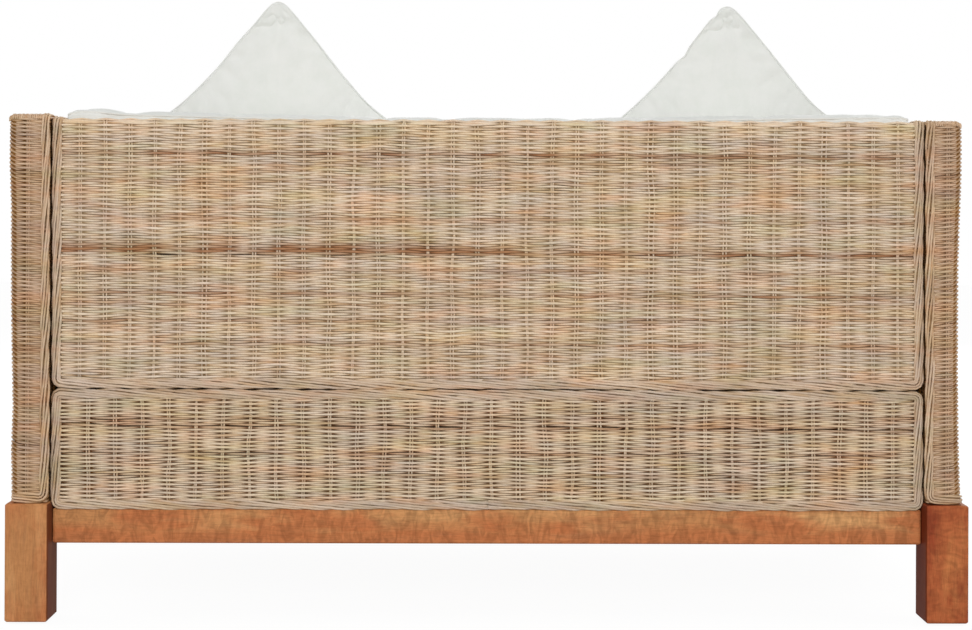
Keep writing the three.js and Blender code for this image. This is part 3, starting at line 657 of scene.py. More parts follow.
seat_cane = cane("seat_cane", (0.98, 0.98, 0.98), 0.82)
seat_rope_cane = cane("seat_rope_cane", (0.9, 0.885, 0.89), 0.5)
for end, sign in (("rear", 1), ("front", -1)):
    node = f"seat_{end}_weave"
    low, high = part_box(node)
    foot, top = low.z, high.z
    number = SEAT_NUMBERS[end]
    (distance, line, out), stakes, cuts = panel_plan(SEAT_STAKES)
    plan = distance, line * [1, sign], out * [1, sign]
    heights = np.arange(foot + FIRST_ROW_UP, top - SEAT_LAST_ROW_DOWN, SEAT_CANE_PITCH)
    piece = woven_rounds(f"seat_{end}_cane", plan, stakes, cuts, heights, SEAT_CANE_PITCH, SEAT_SWING,
                         number, SEAT_STREAKS, SEAT_SHADED_STAKES, uneven=0.2)
    fit_piece(piece, seat_cane, "rattan_weave", node)
    line, out = over_the_top(PANEL_OUTER_FACE, PANEL_INNER_FACE, foot, top)
    piece = core_hoops(f"seat_{end}_cores", SEAT_STAKES[1:-1], (line * [sign, 1], out * [sign, 1]), 0,
                       number + 200)
    fit_piece(piece, seat_cane, "rattan_weave", node)
    side = PANEL_HALF_LENGTH + ROPE_OVERHANG - ROPE_WIDE / 2
    proud = sign * (PANEL_OUTER_FACE + ROPE_PROUD - ROPE_DEEP / 2)
    level, below = top - ROPE_WIDE / 2, foot + ROPE_WIDE / 2 - SEAT_ROPE_SAG
    ring = [(0, proud, below), (-side, proud, below), (-side, proud, level), (side, proud, level),
            (side, proud, below), (0, proud, below)]
    line, out = filleted(ring, [(0, sign, 0)] * 5, SEAT_ROPE_BEND)
    around = ROPE_STEP * (len(line) - 1)
    piece = twisted_rope(f"seat_{end}_rope", line, out, ROPE_STRANDS, ROPE_WIDE, ROPE_DEEP, ROPE_THICK,
                         around / round(around / ROPE_TURN), number + 300)
    fit_piece(piece, seat_rope_cane, "rattan_weave", node)

# The deck: two ledgers screwed inside the seat box and nine slats laid across them, in plain pale
# hardwood, planed and oiled. They carry the seat cushion.
SLAT_PALE = (214, 178, 134)
SLAT_MAIN = (190, 150, 106)
SLAT_RED = (168, 122, 82)
SLAT_STREAK = (156, 120, 84)

slat_colours = (SLAT_PALE, SLAT_MAIN, SLAT_RED, SLAT_STREAK)
slat_wood = wood("deck_endwise", "Y", slat_colours, 0.6)
ledger_wood = wood("deck_crosswise", "X", slat_colours, 0.6)
for end in ("front", "rear"):
    finish_node(f"deck_ledger_{end}", ledger_wood)
for place_number in range(1, 10):
    finish_node(f"deck_slat_{place_number}", slat_wood)

# The back: a taller woven panel of slightly thicker cane, with the same twisted rope along its foot and up
# its sides, where it turns over the top. Between the two ropes the rows run on over the bent cores.
BACK_NUMBER = 3000
BACK_CANE_PITCH = 0.00327
BACK_CANE_THICK = 1.01 * BACK_CANE_PITCH
BACK_SWING = 0.0021
BACK_STAKES = np.linspace(0.6126, -0.6154, 36)
BACK_WIDE_STAKES = (5, 23, 30)
# Stakes at which the strands behind get deeper painted shade.
BACK_SHADED_STAKES = (6, 24, 31)
BACK_STREAKS = ((0.5246, 0.0066, 0.95, 0, 0.006, 0.3), (0.5205, 0.0027, 0.85, 0, 0.004, 1),
                (0.6589, 0.0032, 0.75, 0, 0.004, 1), (0.461, 0.0026, 0.75, 0, 0.003, 1),
                (0.3903, 0.003, 0.5, 0.0002, 0.002, 1), (0.494, 0.0025, 0.45, 0, 0.002, 1),
                (0.619, 0.003, 0.45, 0, 0.004, 1), (0.567, 0.0025, 0.4, 0, 0.005, 1),
                (0.425, 0.003, 0.5, 0.0002, -0.003, 1), (0.445, 0.0022, 0.4, 0, 0.002, 1),
                (0.645, 0.0022, 0.4, 0, -0.002, 1))
BACK_LAST_ROW_DOWN = 0.0068
BACK_TOP_BEND = 0.005
BACK_TOP_DROP = 0.004
BACK_ROPE_BEND = 0.0085
BACK_ROPE_OVER = 0.0025
BACK_ROPE_IN_FRONT = 0.0005
BACK_ROPE_END = 0.62
TOP_SWING = 0.0022
TOP_SWING_END_SHARE = 0.3
TOP_THICK_SHARE = 1.05
TOP_CUTS = 4
TOP_CLEAR_OF_BEND = 0.001


def row_halves(first, last, pitch):
    """The even rows of a tall panel in two halves, so that neither piece grows too large: the name of each,
    how many rows lie below it, and its rows' heights."""
    heights = np.linspace(first, last, round((last - first) / pitch) + 1)
    half_way = len(heights) // 2
    return ("lower", 0, heights[:half_way]), ("upper", half_way, heights[half_way:])


def top_rows(name, section, stakes, half_length, bend, drop, pitch, lengthwise, number):
    """Rows of cane along the top of a panel, from face to face of its section. Each end bends down by an
    arc, middle + bend * (sin a, cos a), and goes on down by drop."""
    line, out = section
    reach = distances(line)
    start, end = reach[RISE_POINTS], reach[-RISE_POINTS - 1]
    rows = int((end - start) / pitch)
    at = (start + end) / 2 + (np.arange(rows) - (rows - 1) / 2) * pitch
    across, height, sideways, up = (np.interp(at, reach, part)[:, None] for part in (*line.T, *out.T))
    stakes = np.sort(stakes)
    inner, phase = stations_between(stakes, np.full(len(stakes) - 1, TOP_CUTS))
    keep = np.abs(inner) < half_length - bend - TOP_CLEAR_OF_BEND
    inner, phase = inner[keep], phase[keep]
    angle = np.radians([0, 30, 60, 90])
    away = np.concatenate([half_length - bend + bend * np.sin(angle), [half_length]])
    lower = np.concatenate([bend - bend * np.cos(angle), [bend + drop]])
    tilt = np.concatenate([angle, [np.pi / 2]])
    along = np.concatenate([-away[::-1], inner, away])
    sink = np.concatenate([lower[::-1], 0 * inner, lower])
    lean = np.concatenate([-tilt[::-1], 0 * inner, tilt])
    ends = np.interp(along, inner, phase)
    wave = TOP_SWING * swing(ends[None] + (np.arange(rows)[:, None] + number) % 2)
    wave = wave * np.interp(np.abs(along), [half_length - 3 * bend, half_length - bend],
                            [1, TOP_SWING_END_SHARE])
    away_part = np.broadcast_to(np.sin(lean), wave.shape)
    side_part, up_part = sideways * np.cos(lean), up * np.cos(lean)
    along, height = np.broadcast_to(along, wave.shape), height - sink
    across = np.broadcast_to(across, wave.shape)
    order = (0, 1, 2) if lengthwise == 0 else (1, 0, 2)
    centres, outward = (np.stack([parts[i] for i in order], -1) for parts in
                        ((along, across, height), (away_part, side_part, up_part)))
    random = np.random.default_rng(number)
    girth = TOP_THICK_SHARE * pitch / 2 * (1 + GIRTH_SPREAD * random.normal(size=(rows, 1)).clip(-2, 2))
    return tubes(name, centres + wave[..., None] * unit(outward), outward, girth, CORE_SIDES,
                 first_number=number)


back_cane = cane("back_cane", (0.985, 0.985, 0.995), 0.55)
back_rope_cane = cane("back_rope_cane", (0.91, 0.89, 0.89), 0.5)
low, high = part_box("back_weave")
foot, top = low.z, high.z
plan, stakes, cuts = panel_plan(BACK_STAKES)
for part, first, rows in row_halves(foot + FIRST_ROW_UP, top - BACK_LAST_ROW_DOWN, BACK_CANE_PITCH):
    piece = woven_rounds(f"back_cane_{part}", plan, stakes, cuts, rows, BACK_CANE_THICK, BACK_SWING,
                         BACK_NUMBER + first, BACK_STREAKS, BACK_SHADED_STAKES)
    fit_piece(piece, back_cane, "rattan_weave", "back_weave")
section = over_the_top(PANEL_OUTER_FACE, PANEL_INNER_FACE, foot, top)
piece = core_hoops("back_cores", BACK_STAKES[1:-1], section, 0, BACK_NUMBER + 400, BACK_WIDE_STAKES)
fit_piece(piece, back_cane, "rattan_weave", "back_weave")
piece = top_rows("back_top_rows", section, BACK_STAKES, PANEL_HALF_LENGTH - SKIN_INSET, BACK_TOP_BEND,
                 BACK_TOP_DROP, BACK_CANE_PITCH, 0, BACK_NUMBER + 500)
fit_piece(piece, back_cane, "rattan_weave", "back_weave")
side, below = PANEL_HALF_LENGTH + ROPE_OVERHANG - ROPE_WIDE / 2, foot + ROPE_WIDE / 2
over = top + BACK_ROPE_OVER - ROPE_DEEP / 2
proud = PANEL_OUTER_FACE + ROPE_PROUD - ROPE_DEEP / 2
in_front = PANEL_INNER_FACE - BACK_ROPE_IN_FRONT + ROPE_DEEP / 2
half_run = [(side, in_front, BACK_ROPE_END), (side, in_front, over), (side, proud, over),
            (side, proud, below)]
facings = [(0, -1, 0), (0, 0, 1), (0, 1, 0), (0, 1, 0), (0, 1, 0), (0, 0, 1), (0, -1, 0)]
line, out = filleted(half_run + [(-x, y, z) for x, y, z in half_run[::-1]], facings, BACK_ROPE_BEND)
piece = twisted_rope("back_rope", line, out, ROPE_STRANDS, ROPE_WIDE, ROPE_DEEP, ROPE_THICK, ROPE_TURN,
                     BACK_NUMBER + 600)
fit_piece(piece, back_rope_cane, "rattan_weave", "back_weave")

# The arms: each is woven in rounds about its pole frame, with a stake in each upright edge. Rows of cane
# run along the top and bend down over the ends, and a narrower rope edges the foot and the inner ends.
ARM_NUMBERS = {"left": 4000, "right": 5000}
ARM_FOOT = 0.168
ARM_HEIGHT = 0.544
ARM_INNER_FACE = 0.615
ARM_OUTER_FACE = 0.667
ARM_HALF_LENGTH = 0.342
ARM_CANE_THICK = 1.05 * SEAT_CANE_PITCH
ARM_SWING = 0.0024
ARM_SIDE_STAKES = 19
ARM_END_STAKE = 0.6466
ARM_CUTS = 4
ARM_FIRST_ROW_UP = 0.003
ARM_LAST_ROW_DOWN = 0.0062
ARM_STREAKS = ((0.63, 0.005, 0.4, 0.0003, 0, 1), (0.54, 0.003, 0.35, 0, 0, 1),
               (0.42, 0.004, 0.4, 0.0003, 0, 1), (0.33, 0.003, 0.3, 0, 0, 1),
               (0.25, 0.006, 0.35, 0.0003, 0, 1))
ARM_RISE = {"left": 0.0030, "right": -0.0015}
ARM_OUTLINE = {"left": ((0, 0.13, 0.24, 0.34, 0.5, 0.76, 0.87, 1),
                        (0.0043, 0.0056, 0.0037, 0.0049, 0.0067, 0.0074, 0.0096, 0.0086)),
               "right": ((0, 0.15, 0.35, 0.6, 0.72, 0.82, 0.9, 0.96, 1),
                         (0.0022, -0.0005, -0.0018, -0.0016, 0.0002, 0.0022, 0.0026, 0.0020, -0.0006))}
ARM_LIFT = {"left": (0.0020, 0.0048), "right": (0.0030, 0.0048)}
ARM_LIFT_GONE_BELOW_TOP = 0.03
ARM_TURN_UP_ACROSS = (0.8, 0.2)
ARM_TURN_UP_ALONG = (-0.03, 0.02)
ARM_CALM = 0.65
ARM_CALM_ACROSS = (0.2, 0.2)
ARM_CALM_ALONG = (-0.07, 0.03)
ARM_BENDS_ACROSS = (0.82, 0.1)
ARM_BENDS_ALONG = (-0.016, 0.006)
# Painted shade on the strands of the arm's inner face beside the back panel, where no light reaches.
ARM_UNLIT = 0.8
ARM_UNLIT_DEEP = 0.008
ARM_DRAW_IN = 0.0024
ARM_DRAW_IN_START = (-0.012, 0.01)
ARM_DRAW_IN_END = (-0.004, 0.008)
# Painted shade on the cores of the arm's inner face beside the back panel.
UNLIT_CORE_SHADE = 1.5
ARM_END_CORE_TOP = 0.004
ARM_TOP_BEND = 0.004
ARM_TOP_DROP = 0.002
ARM_TOP_OVERHANG = 0.001
ARM_ROPE_STRANDS = 6
ARM_ROPE_WIDE = 0.0135
ARM_ROPE_DEEP = 0.0066
ARM_ROPE_THICK = 0.0030
ARM_ROPE_OVERHANG = {"left": 0.0003, "right": 0.0010}
ARM_ROPE_PROUD = 0.0028
ARM_ROPE_OVER = 0.0002
ARM_ROPE_ON_TOP = 0.012
ARM_ROPE_BEND = 0.009


def ramped(values, start, over):
    """0 up to start, and from there evenly up to 1 over a length."""
    return ((values - start) / over).clip(0, 1)


def arm_bulge(hand, heights):
    """How far the outer face of an arm stands out at heights. ARM_OUTLINE has shares of the arm's height,
    and how far it is at each."""
    return np.interp((heights - ARM_FOOT) / ARM_HEIGHT, *ARM_OUTLINE[hand])


def arm_form(hand, plan):
    """How the rounds of an arm depart from its plan. They bulge towards the outer face. They rise towards
    it by the first of ARM_LIFT, and to its corners by the second. At their ends they swing less, and at the
    outer corners their bends are thinner and get painted shade. Beside the back panel they get painted
    shade, where no light reaches, and are drawn in to clear it. Each pair of numbers, ACROSS, ALONG, START
    or END, is where a thing starts and over how much it comes in: shares of the way to the outer face, or
    lengths from the arm's ends or the back panel."""
    inner, outer = np.abs(plan[1][:, 0]).min(), abs(plan[1][0, 0])
    unlit_x, unlit_y = ARM_INNER_FACE + ARM_UNLIT_DEEP, ARM_HALF_LENGTH - ARM_UNLIT_DEEP

    def form(x, y, heights):
        outwards, endwards = np.abs(np.abs(x) - inner) / (outer - inner), np.abs(y) - y.max()
        turned = ramped(outwards, *ARM_TURN_UP_ACROSS) ** 1.5 * ramped(endwards, *ARM_TURN_UP_ALONG)
        below_top = ramped(ARM_FOOT + ARM_HEIGHT - heights, 0, ARM_LIFT_GONE_BELOW_TOP)
        rise = (ARM_LIFT[hand][0] * outwards + ARM_LIFT[hand][1] * turned) * below_top
        beside = ramped(y - PANEL_INNER_FACE, *ARM_DRAW_IN_START) * ramped(unlit_y - y, *ARM_DRAW_IN_END)
        aside = arm_bulge(hand, heights) * outwards + ARM_DRAW_IN * beside * (np.abs(x) < unlit_x)
        calm = ramped(np.abs(outwards - 0.5), *ARM_CALM_ACROSS) * ramped(endwards, *ARM_CALM_ALONG)
        bent = ramped(outwards, *ARM_BENDS_ACROSS) * ramped(endwards, *ARM_BENDS_ALONG)
        unlit = (np.abs(x) > ARM_INNER_FACE) & (np.abs(x) < unlit_x) & (y > PANEL_INNER_FACE) & (y < unlit_y)
        return rise, aside * np.sign(x), ARM_CALM * calm, bent, ARM_UNLIT * unlit

    return form


arm_cane = cane("arm_cane", (0.89, 0.835, 0.80), 0.75)
arm_rope_cane = cane("arm_rope_cane", (0.895, 0.85, 0.82), 0.5)
for hand, sign in (("left", 1), ("right", -1)):
    node = f"arm_{hand}_weave"
    low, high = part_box(node)
    foot, top = low.z, high.z + ARM_RISE[hand]
    distance, line, out = plan = rounded_plan((ARM_INNER_FACE, -ARM_HALF_LENGTH),
                                              (ARM_OUTER_FACE, ARM_HALF_LENGTH))
    corners = distance[::CORNER_POINTS]
    stakes = np.concatenate([[0], on_face(plan, 0, [ARM_END_STAKE]),
                             np.linspace(*corners[1:3], ARM_SIDE_STAKES),
                             on_face(plan, 2, [ARM_END_STAKE]), np.linspace(*corners[3:5], ARM_SIDE_STAKES)])
    cuts = np.full(len(stakes) - 1, ARM_CUTS)
    plan = distance, line * [sign, 1], out * [sign, 1]
    number = ARM_NUMBERS[hand]
    for part, first, rows in row_halves(foot + ARM_FIRST_ROW_UP, top - ARM_LAST_ROW_DOWN, SEAT_CANE_PITCH):
        piece = woven_rounds(f"arm_{hand}_cane_{part}", plan, stakes, cuts, rows, ARM_CANE_THICK, ARM_SWING,
                             number + first, ARM_STREAKS, form=arm_form(hand, plan))
        fit_piece(piece, arm_cane, "rattan_weave", node)
    line, out = over_the_top(ARM_OUTER_FACE, ARM_INNER_FACE, foot, top)
    line[:, 0] += (arm_bulge(hand, line[:, 1]) * (line[:, 0] - ARM_INNER_FACE)
                   / (ARM_OUTER_FACE - ARM_INNER_FACE))
    section = line * [sign, 1], out * [sign, 1]
    inner_side = face_part(1)
    side_stakes = np.interp(stakes[2:2 + ARM_SIDE_STAKES], distance[inner_side], plan[1][inner_side, 1])
    # The cores of the inner face beside the back panel get painted shade, where no light reaches.
    inner_half = np.arange(len(line)) >= len(line) // 2
    unlit = np.repeat(side_stakes[1:-1] > PANEL_INNER_FACE, 2)[:, None] & inner_half
    piece = core_hoops(f"arm_{hand}_cores", side_stakes[1:-1], section, 1, number + 400,
                       painted_shade=CORE_SHADE + UNLIT_CORE_SHADE * unlit)
    fit_piece(piece, arm_cane, "rattan_weave", node)
    reach = ARM_HALF_LENGTH - SKIN_INSET
    places = [(sign * ARM_END_STAKE, reach), (sign * ARM_END_STAKE, -reach)]
    piece = upright_cores(f"arm_{hand}_end_cores", places, [(0.0, 1.0, 0.0), (0.0, -1.0, 0.0)],
                          foot + CORE_FOOT, top - ARM_END_CORE_TOP, number + 500)
    fit_piece(piece, arm_cane, "rattan_weave", node)
    piece = top_rows(f"arm_{hand}_top_rows", section, side_stakes, reach + ARM_TOP_OVERHANG, ARM_TOP_BEND,
                     ARM_TOP_DROP, SEAT_CANE_PITCH, 1, number + 600)
    fit_piece(piece, arm_cane, "rattan_weave", node)
    edge = sign * (ARM_INNER_FACE - ARM_ROPE_OVERHANG[hand] + ARM_ROPE_WIDE / 2)
    aside = sign * (ARM_OUTER_FACE + ARM_ROPE_PROUD - ARM_ROPE_DEEP / 2)
    beyond, skirt = ARM_HALF_LENGTH + ARM_ROPE_PROUD - ARM_ROPE_DEEP / 2, foot + ARM_ROPE_WIDE / 2
    over = top + ARM_ROPE_OVER - ARM_ROPE_DEEP / 2
    half_run = [(edge, beyond - ARM_ROPE_ON_TOP, over), (edge, beyond, over), (edge, beyond, skirt),
                (aside, beyond, skirt)]
    facings = [(0, 0, 1), (0, 1, 0), (0, 1, 0), (sign, 0, 0), (0, -1, 0), (0, -1, 0), (0, 0, 1)]
    line, out = filleted(half_run + [(x, -y, z) for x, y, z in half_run[::-1]], facings, ARM_ROPE_BEND)
    piece = twisted_rope(f"arm_{hand}_rope", line, out, ARM_ROPE_STRANDS, ARM_ROPE_WIDE, ARM_ROPE_DEEP,
                         ARM_ROPE_THICK, ROPE_TURN, number + 700)
    fit_piece(piece, arm_rope_cane, "rattan_weave", node)

# The box cushions: foam in a loose white canvas cover, sewn from a top, a bottom and a boxing strip with
# a piped seam between them. The seat cushion lies on the slats, and the back cushion stands on it.
CANVAS_WHITE = (234, 235, 231)
CANVAS_SHADE = (230, 232, 227)
CANVAS_THREAD = 260
SEAT_CUSHION_WIDE = 1.2288
SEAT_CUSHION_THICK = 0.092
SEAT_CROWN = 0.009
SEAT_COVER_CLEAR = 0.0006
SEAT_COVER_OVER = 0.004
SEAT_CELLS = (100, 50, 10)
SEAT_SEED = 71
BACK_CUSHION_WIDE = 1.2284
BACK_CUSHION_THICK = 0.122
BACK_TOP = 0.7215
BACK_CROWN = 0.002
BACK_SAG = 0.008
BACK_SWELL = 0.009
BACK_HUMP = 0.0042
BACK_HUMP_PLACE = 0.94
BACK_HUMP_WIDE = 0.06
BACK_END_DROP = 0.0015
BACK_END_START = 0.965
BACK_TOP_CAP = 0.0025
BACK_COVER_IN_FRONT = 0.006
BACK_COVER_OVER = 0.009
BACK_CELLS = (100, 14, 28)
BACK_SEED = 72
TOP_CAP_START = 0.6
COVER_EDGE = 0.015
COVER_DRAW_IN = 0.006
COVER_SWELL = 0.005
COVER_CAP = 0.022
COVER_SLACK = 0.6
FILLING_PRESSURE = 4
FILLING_ROOM = 0.025
FILLING_MOMENTS = 20
PUCKER_DEEP = 0.0022
PUCKER_APART = 0.034
PUCKER_REACH = 0.022
PUCKER_START = 0.004
PIPING_RADIUS = 0.0021
BACK_PIPING_RADIUS = 0.8 * PIPING_RADIUS
PIPING_SIDES = 8
PIPING_STEPS = 90
ON_EDGE = 0.9999


def canvas(name):
    """Plain-woven canvas: crossing threads as bump, slight slubs, and a soft sheen."""
    material, shader = new_material(name, 0.85)
    shader.inputs["Sheen Weight"].default_value = 0.25
    where = place(material)
    weave = 0.0
    for direction in ("X", "Y", "Z"):
        options = {"wave_type": "BANDS", "bands_direction": direction}
        wave = shader_node(material, "ShaderNodeTexWave", options, Vector=where, Scale=CANVAS_THREAD,
                           Distortion=1.2)
        weave = maths(material, "ADD", wave.outputs["Fac"], weave)
    slubs = noise(material, where, 34, detail=4, roughness=0.65)
    colour = ramp(material, slubs, [(0.35, linear(CANVAS_SHADE)), (0.6, linear(CANVAS_WHITE))])
    material.node_tree.links.new(colour, shader.inputs["Base Color"])
    bump(material, shader, maths(material, "MULTIPLY", weave, 0.33), 0.0003, 0.4)
    return material


def soft_spacing(cells):
    """Places from -1 to 1, closer together towards both ends: half of t plus half of sin(t pi / 2)."""
    t = np.linspace(-1, 1, cells + 1)
    return 0.5 * t + 0.5 * np.sin(t * np.pi / 2)


def grid_face(axis, side, cells):
    """One face of a box from -1 to 1, as a grid of cells: its points and its quads, which face outwards."""
    first, second = (axis + 1) % 3, (axis + 2) % 3
    a, b = np.meshgrid(soft_spacing(cells[first]), soft_spacing(cells[second]), indexing="ij")
    points = np.zeros((a.size, 3))
    points[:, axis], points[:, first], points[:, second] = side, a.ravel(), b.ravel()
    number = np.arange(a.size).reshape(a.shape)
    quads = np.stack([number[:-1, :-1], number[1:, :-1], number[1:, 1:], number[:-1, 1:]], -1)
    return points, quads.reshape(-1, 4)[:, ::side]


def joined_faces(faces):
    """Grids joined where their points meet."""
    counts = np.cumsum([0] + [len(points) for points, _ in faces])
    points = np.concatenate([points for points, _ in faces])
    quads = np.concatenate([quads + count for (_, quads), count in zip(faces, counts)])
    places, index = np.unique(points.round(9), axis=0, return_inverse=True)
    return places, index.reshape(-1)[quads]


def round_square(cells):
    """Places along the four sides of a square from -1 to 1, anticlockwise, in cells steps a side."""
    side = soft_spacing(cells)[:-1]
    one = 0 * side + 1
    return np.concatenate([side, one, -side, -one]), np.concatenate([-one, side, one, -side])


def box_cushion(grid, size, centre, crown, sag, swell):
    """A box cushion over u, v, t from -1 to 1. Each point is held COVER_EDGE from the box's core. Then the
    sides go out by swell * (1 - t^2) - draw_in between the corners, the top goes up by
    crown * (1 - u^4) * (1 - v^4) - sag * (1 - u^2)^2, and the front out by swell * (1 - t^4) * (1 - u^4)."""
    u, v, t = grid.T
    half = np.array(size) / 2
    box = grid * half
    core = box.clip(COVER_EDGE - half, half - COVER_EDGE)
    points = core + COVER_EDGE * unit(box - core)
    drawn = COVER_SWELL * (1 - t ** 2) - COVER_DRAW_IN
    front = np.where(v < 0, swell * (1 - t ** 4) * (1 - u ** 4), 0)
    points[:, 0] += u * drawn * (1 - v ** 2)
    points[:, 1] += v * (drawn * (1 - u ** 2) + front)
    points[:, 2] += (1 + t) / 2 * (crown * (1 - u ** 4) * (1 - v ** 4) - sag * (1 - u ** 2) ** 2)
    return points + centre


def keep_shape(piece):
    """Puts the result of a piece's modifiers into its mesh, and removes them."""
    graph = bpy.context.evaluated_depsgraph_get()
    result = bpy.data.meshes.new_from_object(piece.evaluated_get(graph))
    piece.modifiers.clear()
    piece.data = result


def read_points(mesh):
    """The mesh's points as an array."""
    points = np.zeros(3 * len(mesh.vertices))
    mesh.vertices.foreach_get("co", points)
    return points.reshape(-1, 3)


def read_normals(mesh):
    """The directions square to the mesh at its points."""
    normals = np.zeros(3 * len(mesh.vertices))
    mesh.vertex_normals.foreach_get("vector", normals)
    return normals.reshape(-1, 3)


def put_points(piece, points):
    """Moves the piece's points."""
    piece.data.vertices.foreach_set("co", points.ravel())
    piece.data.update()


def filled_cover(name, points, quads, pinned, cap):
    """A cover swollen by its filling: cloth under pressure, a little roomier than the form and held at the
    pinned seams, so that it swells and creases between them. No point moves more than cap."""
    piece = mesh_piece(name, points, quads.ravel(), np.full(len(quads), 4))
    seam = piece.vertex_groups.new(name="seam")
    seam.add(np.flatnonzero(pinned).tolist(), 1.0, "REPLACE")
    cloth = piece.modifiers.new("cover", "CLOTH")
    cloth.settings.use_pressure = True
    cloth.settings.uniform_pressure_force = FILLING_PRESSURE
    cloth.settings.effector_weights.gravity = 0
    cloth.settings.vertex_group_mass = "seam"
    cloth.settings.shrink_min = -FILLING_ROOM
    cloth.settings.quality = 4
    for moment in range(1, FILLING_MOMENTS + 1):
        bpy.context.scene.frame_set(moment)
    keep_shape(piece)
    bpy.context.scene.frame_set(1)
    moved = read_points(piece.data) - points
    far = np.linalg.norm(moved, axis=1, keepdims=True)
    return piece, points + moved * np.minimum(1, cap / np.maximum(far, 0.000001))


def finish_cover(piece, points):
    """Puts the points into the cover, smooth and once subdivided."""
    piece.data.polygons.foreach_set("use_smooth", np.ones(len(piece.data.polygons), dtype=bool))
    put_points(piece, points)
    finer = piece.modifiers.new("finer", "SUBSURF")
    finer.levels = finer.render_levels = 1


def puckers(along, away, deep, apart, reach, random):
    """Depth of the small creases that run away from a seam: a sine along the seam whose phase drifts, times
    exp(-away / reach) - exp(-away / PUCKER_START), which is nothing on the seam itself."""
    drift, start = random.uniform(1.0, 2.5), random.uniform(0, 2 * np.pi, 3)
    phase = along / apart * 2 * np.pi + drift * np.sin(along * 23 + start[0]) + start[1]
    strong = 0.55 + 0.45 * np.sin(along * 31 + start[2])
    faded = np.exp(-away / reach) - np.exp(-away / PUCKER_START)
    return deep * strong * (0.5 + 0.5 * np.sin(phase)) * faded


def box_cover(name, node, cells, size, centre, crown, sag, swell, lift, hump, low, high, seed, piping_radius,
              top_cap):
    """A filled box cushion and its two piped seams. lift raises its foot over what lies under it, and hump
    its top, where the filling moves the cover by no more than top_cap."""
    random = np.random.default_rng(seed)
    grid, quads = joined_faces([grid_face(axis, side, cells) for axis in range(3) for side in (1, -1)])

    def shaped(places, fullness):
        points = box_cushion(places, size, centre, crown * fullness, sag, swell * fullness)
        points[:, 2] += lift(points) * (1 - places[:, 2]) / 2 + hump(points) * (1 + places[:, 2]) / 2
        return points

    edges = np.abs(grid) > ON_EDGE
    pinned = edges.sum(axis=1) > 1
    cap = COVER_CAP + (top_cap - COVER_CAP) * ramped(grid[:, 2:], TOP_CAP_START, 1 - TOP_CAP_START)
    piece, points = filled_cover(name, shaped(grid, COVER_SLACK), quads, pinned, cap)
    points = points.clip(low, high)
    away, along = (1 - np.abs(grid)) * size / 2, grid * size / 2
    depth = np.zeros(len(grid))
    for axis, other in ((0, 1), (1, 0)):
        from_seam = np.where(edges[:, 2], away[:, axis], away[:, 2])
        creases = puckers(along[:, other] + 0.1 * grid[:, 2], from_seam, PUCKER_DEEP, PUCKER_APART,
                          PUCKER_REACH, random)
        depth += (edges[:, 2] | edges[:, axis]) * creases
    put_points(piece, points)
    finish_cover(piece, points - depth[:, None] * read_normals(piece.data))
    fit_piece(piece, box_canvas, "canvas", node)
    u, v = round_square(PIPING_STEPS)
    seams = np.stack([shaped(np.stack([u, v, 0 * u + level], -1), 1) for level in (-1, 1)])
    out = np.broadcast_to(unit(np.stack([u, v, 0 * u], -1)), seams.shape)
    piping = tubes(name.replace("cover", "piping"), seams, out, piping_radius, PIPING_SIDES, closed=True)
    fit_piece(piping, box_canvas, "canvas", node)
    return piece


def level_face(points):
    """The foot or top of a cushion that is neither raised nor lowered."""
    return 0 * points[:, 0]


def crown_under(points):
    """How far the seat cushion's crown rises under points: crown * (1 - u^4) * (1 - v^4)."""
    u, v = ((2 * (points - seat_centre) / seat_size).clip(-1, 1) ** 4)[:, :2].T
    return SEAT_CROWN * (1 - u) * (1 - v)


def humped_top(points):
    """The back cushion's top stands up near its left end, by hump * exp(-((u - place) / wide)^2), and drops
    away at both ends, by drop * ((|u| - start) / (1 - start))^2."""
    u = points[:, 0] / back_size[0] * 2
    hump = BACK_HUMP * np.exp(-((u - BACK_HUMP_PLACE) / BACK_HUMP_WIDE) ** 2)
    return hump - BACK_END_DROP * ramped(np.abs(u), BACK_END_START, 1 - BACK_END_START) ** 2


box_canvas = canvas("box_canvas")
seat_low, seat_high = (np.array(corner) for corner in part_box("seat_cushion"))
seat_size = np.array([SEAT_CUSHION_WIDE, seat_high[1] - seat_low[1], SEAT_CUSHION_THICK])
seat_centre = seat_low * [0, 1, 1] + seat_size * [0, 0.5, 0.5]
piece = box_cover("seat_cushion_cover", "seat_cushion", SEAT_CELLS, seat_size, seat_centre, SEAT_CROWN, 0, 0,
                  level_face, level_face, seat_low + [SEAT_COVER_CLEAR, 0, 0],
                  seat_high - [SEAT_COVER_CLEAR, 0, -SEAT_COVER_OVER], SEAT_SEED, PIPING_RADIUS, COVER_CAP)
back_low, back_high = (np.array(corner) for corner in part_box("back_cushion"))
back_size = np.array([BACK_CUSHION_WIDE, BACK_CUSHION_THICK, BACK_TOP - back_low[2]])
back_centre = np.array([0, back_high[1] - back_size[1] / 2, BACK_TOP - back_size[2] / 2])
piece = box_cover("back_cushion_cover", "back_cushion", BACK_CELLS, back_size, back_centre, BACK_CROWN,
                  BACK_SAG, BACK_SWELL, crown_under, humped_top,
                  [-BACK_CUSHION_WIDE / 2, back_low[1] - BACK_COVER_IN_FRONT, back_low[2]],
                  [BACK_CUSHION_WIDE / 2, back_high[1], back_high[2] + BACK_COVER_OVER], BACK_SEED,
                  BACK_PIPING_RADIUS, BACK_TOP_CAP)

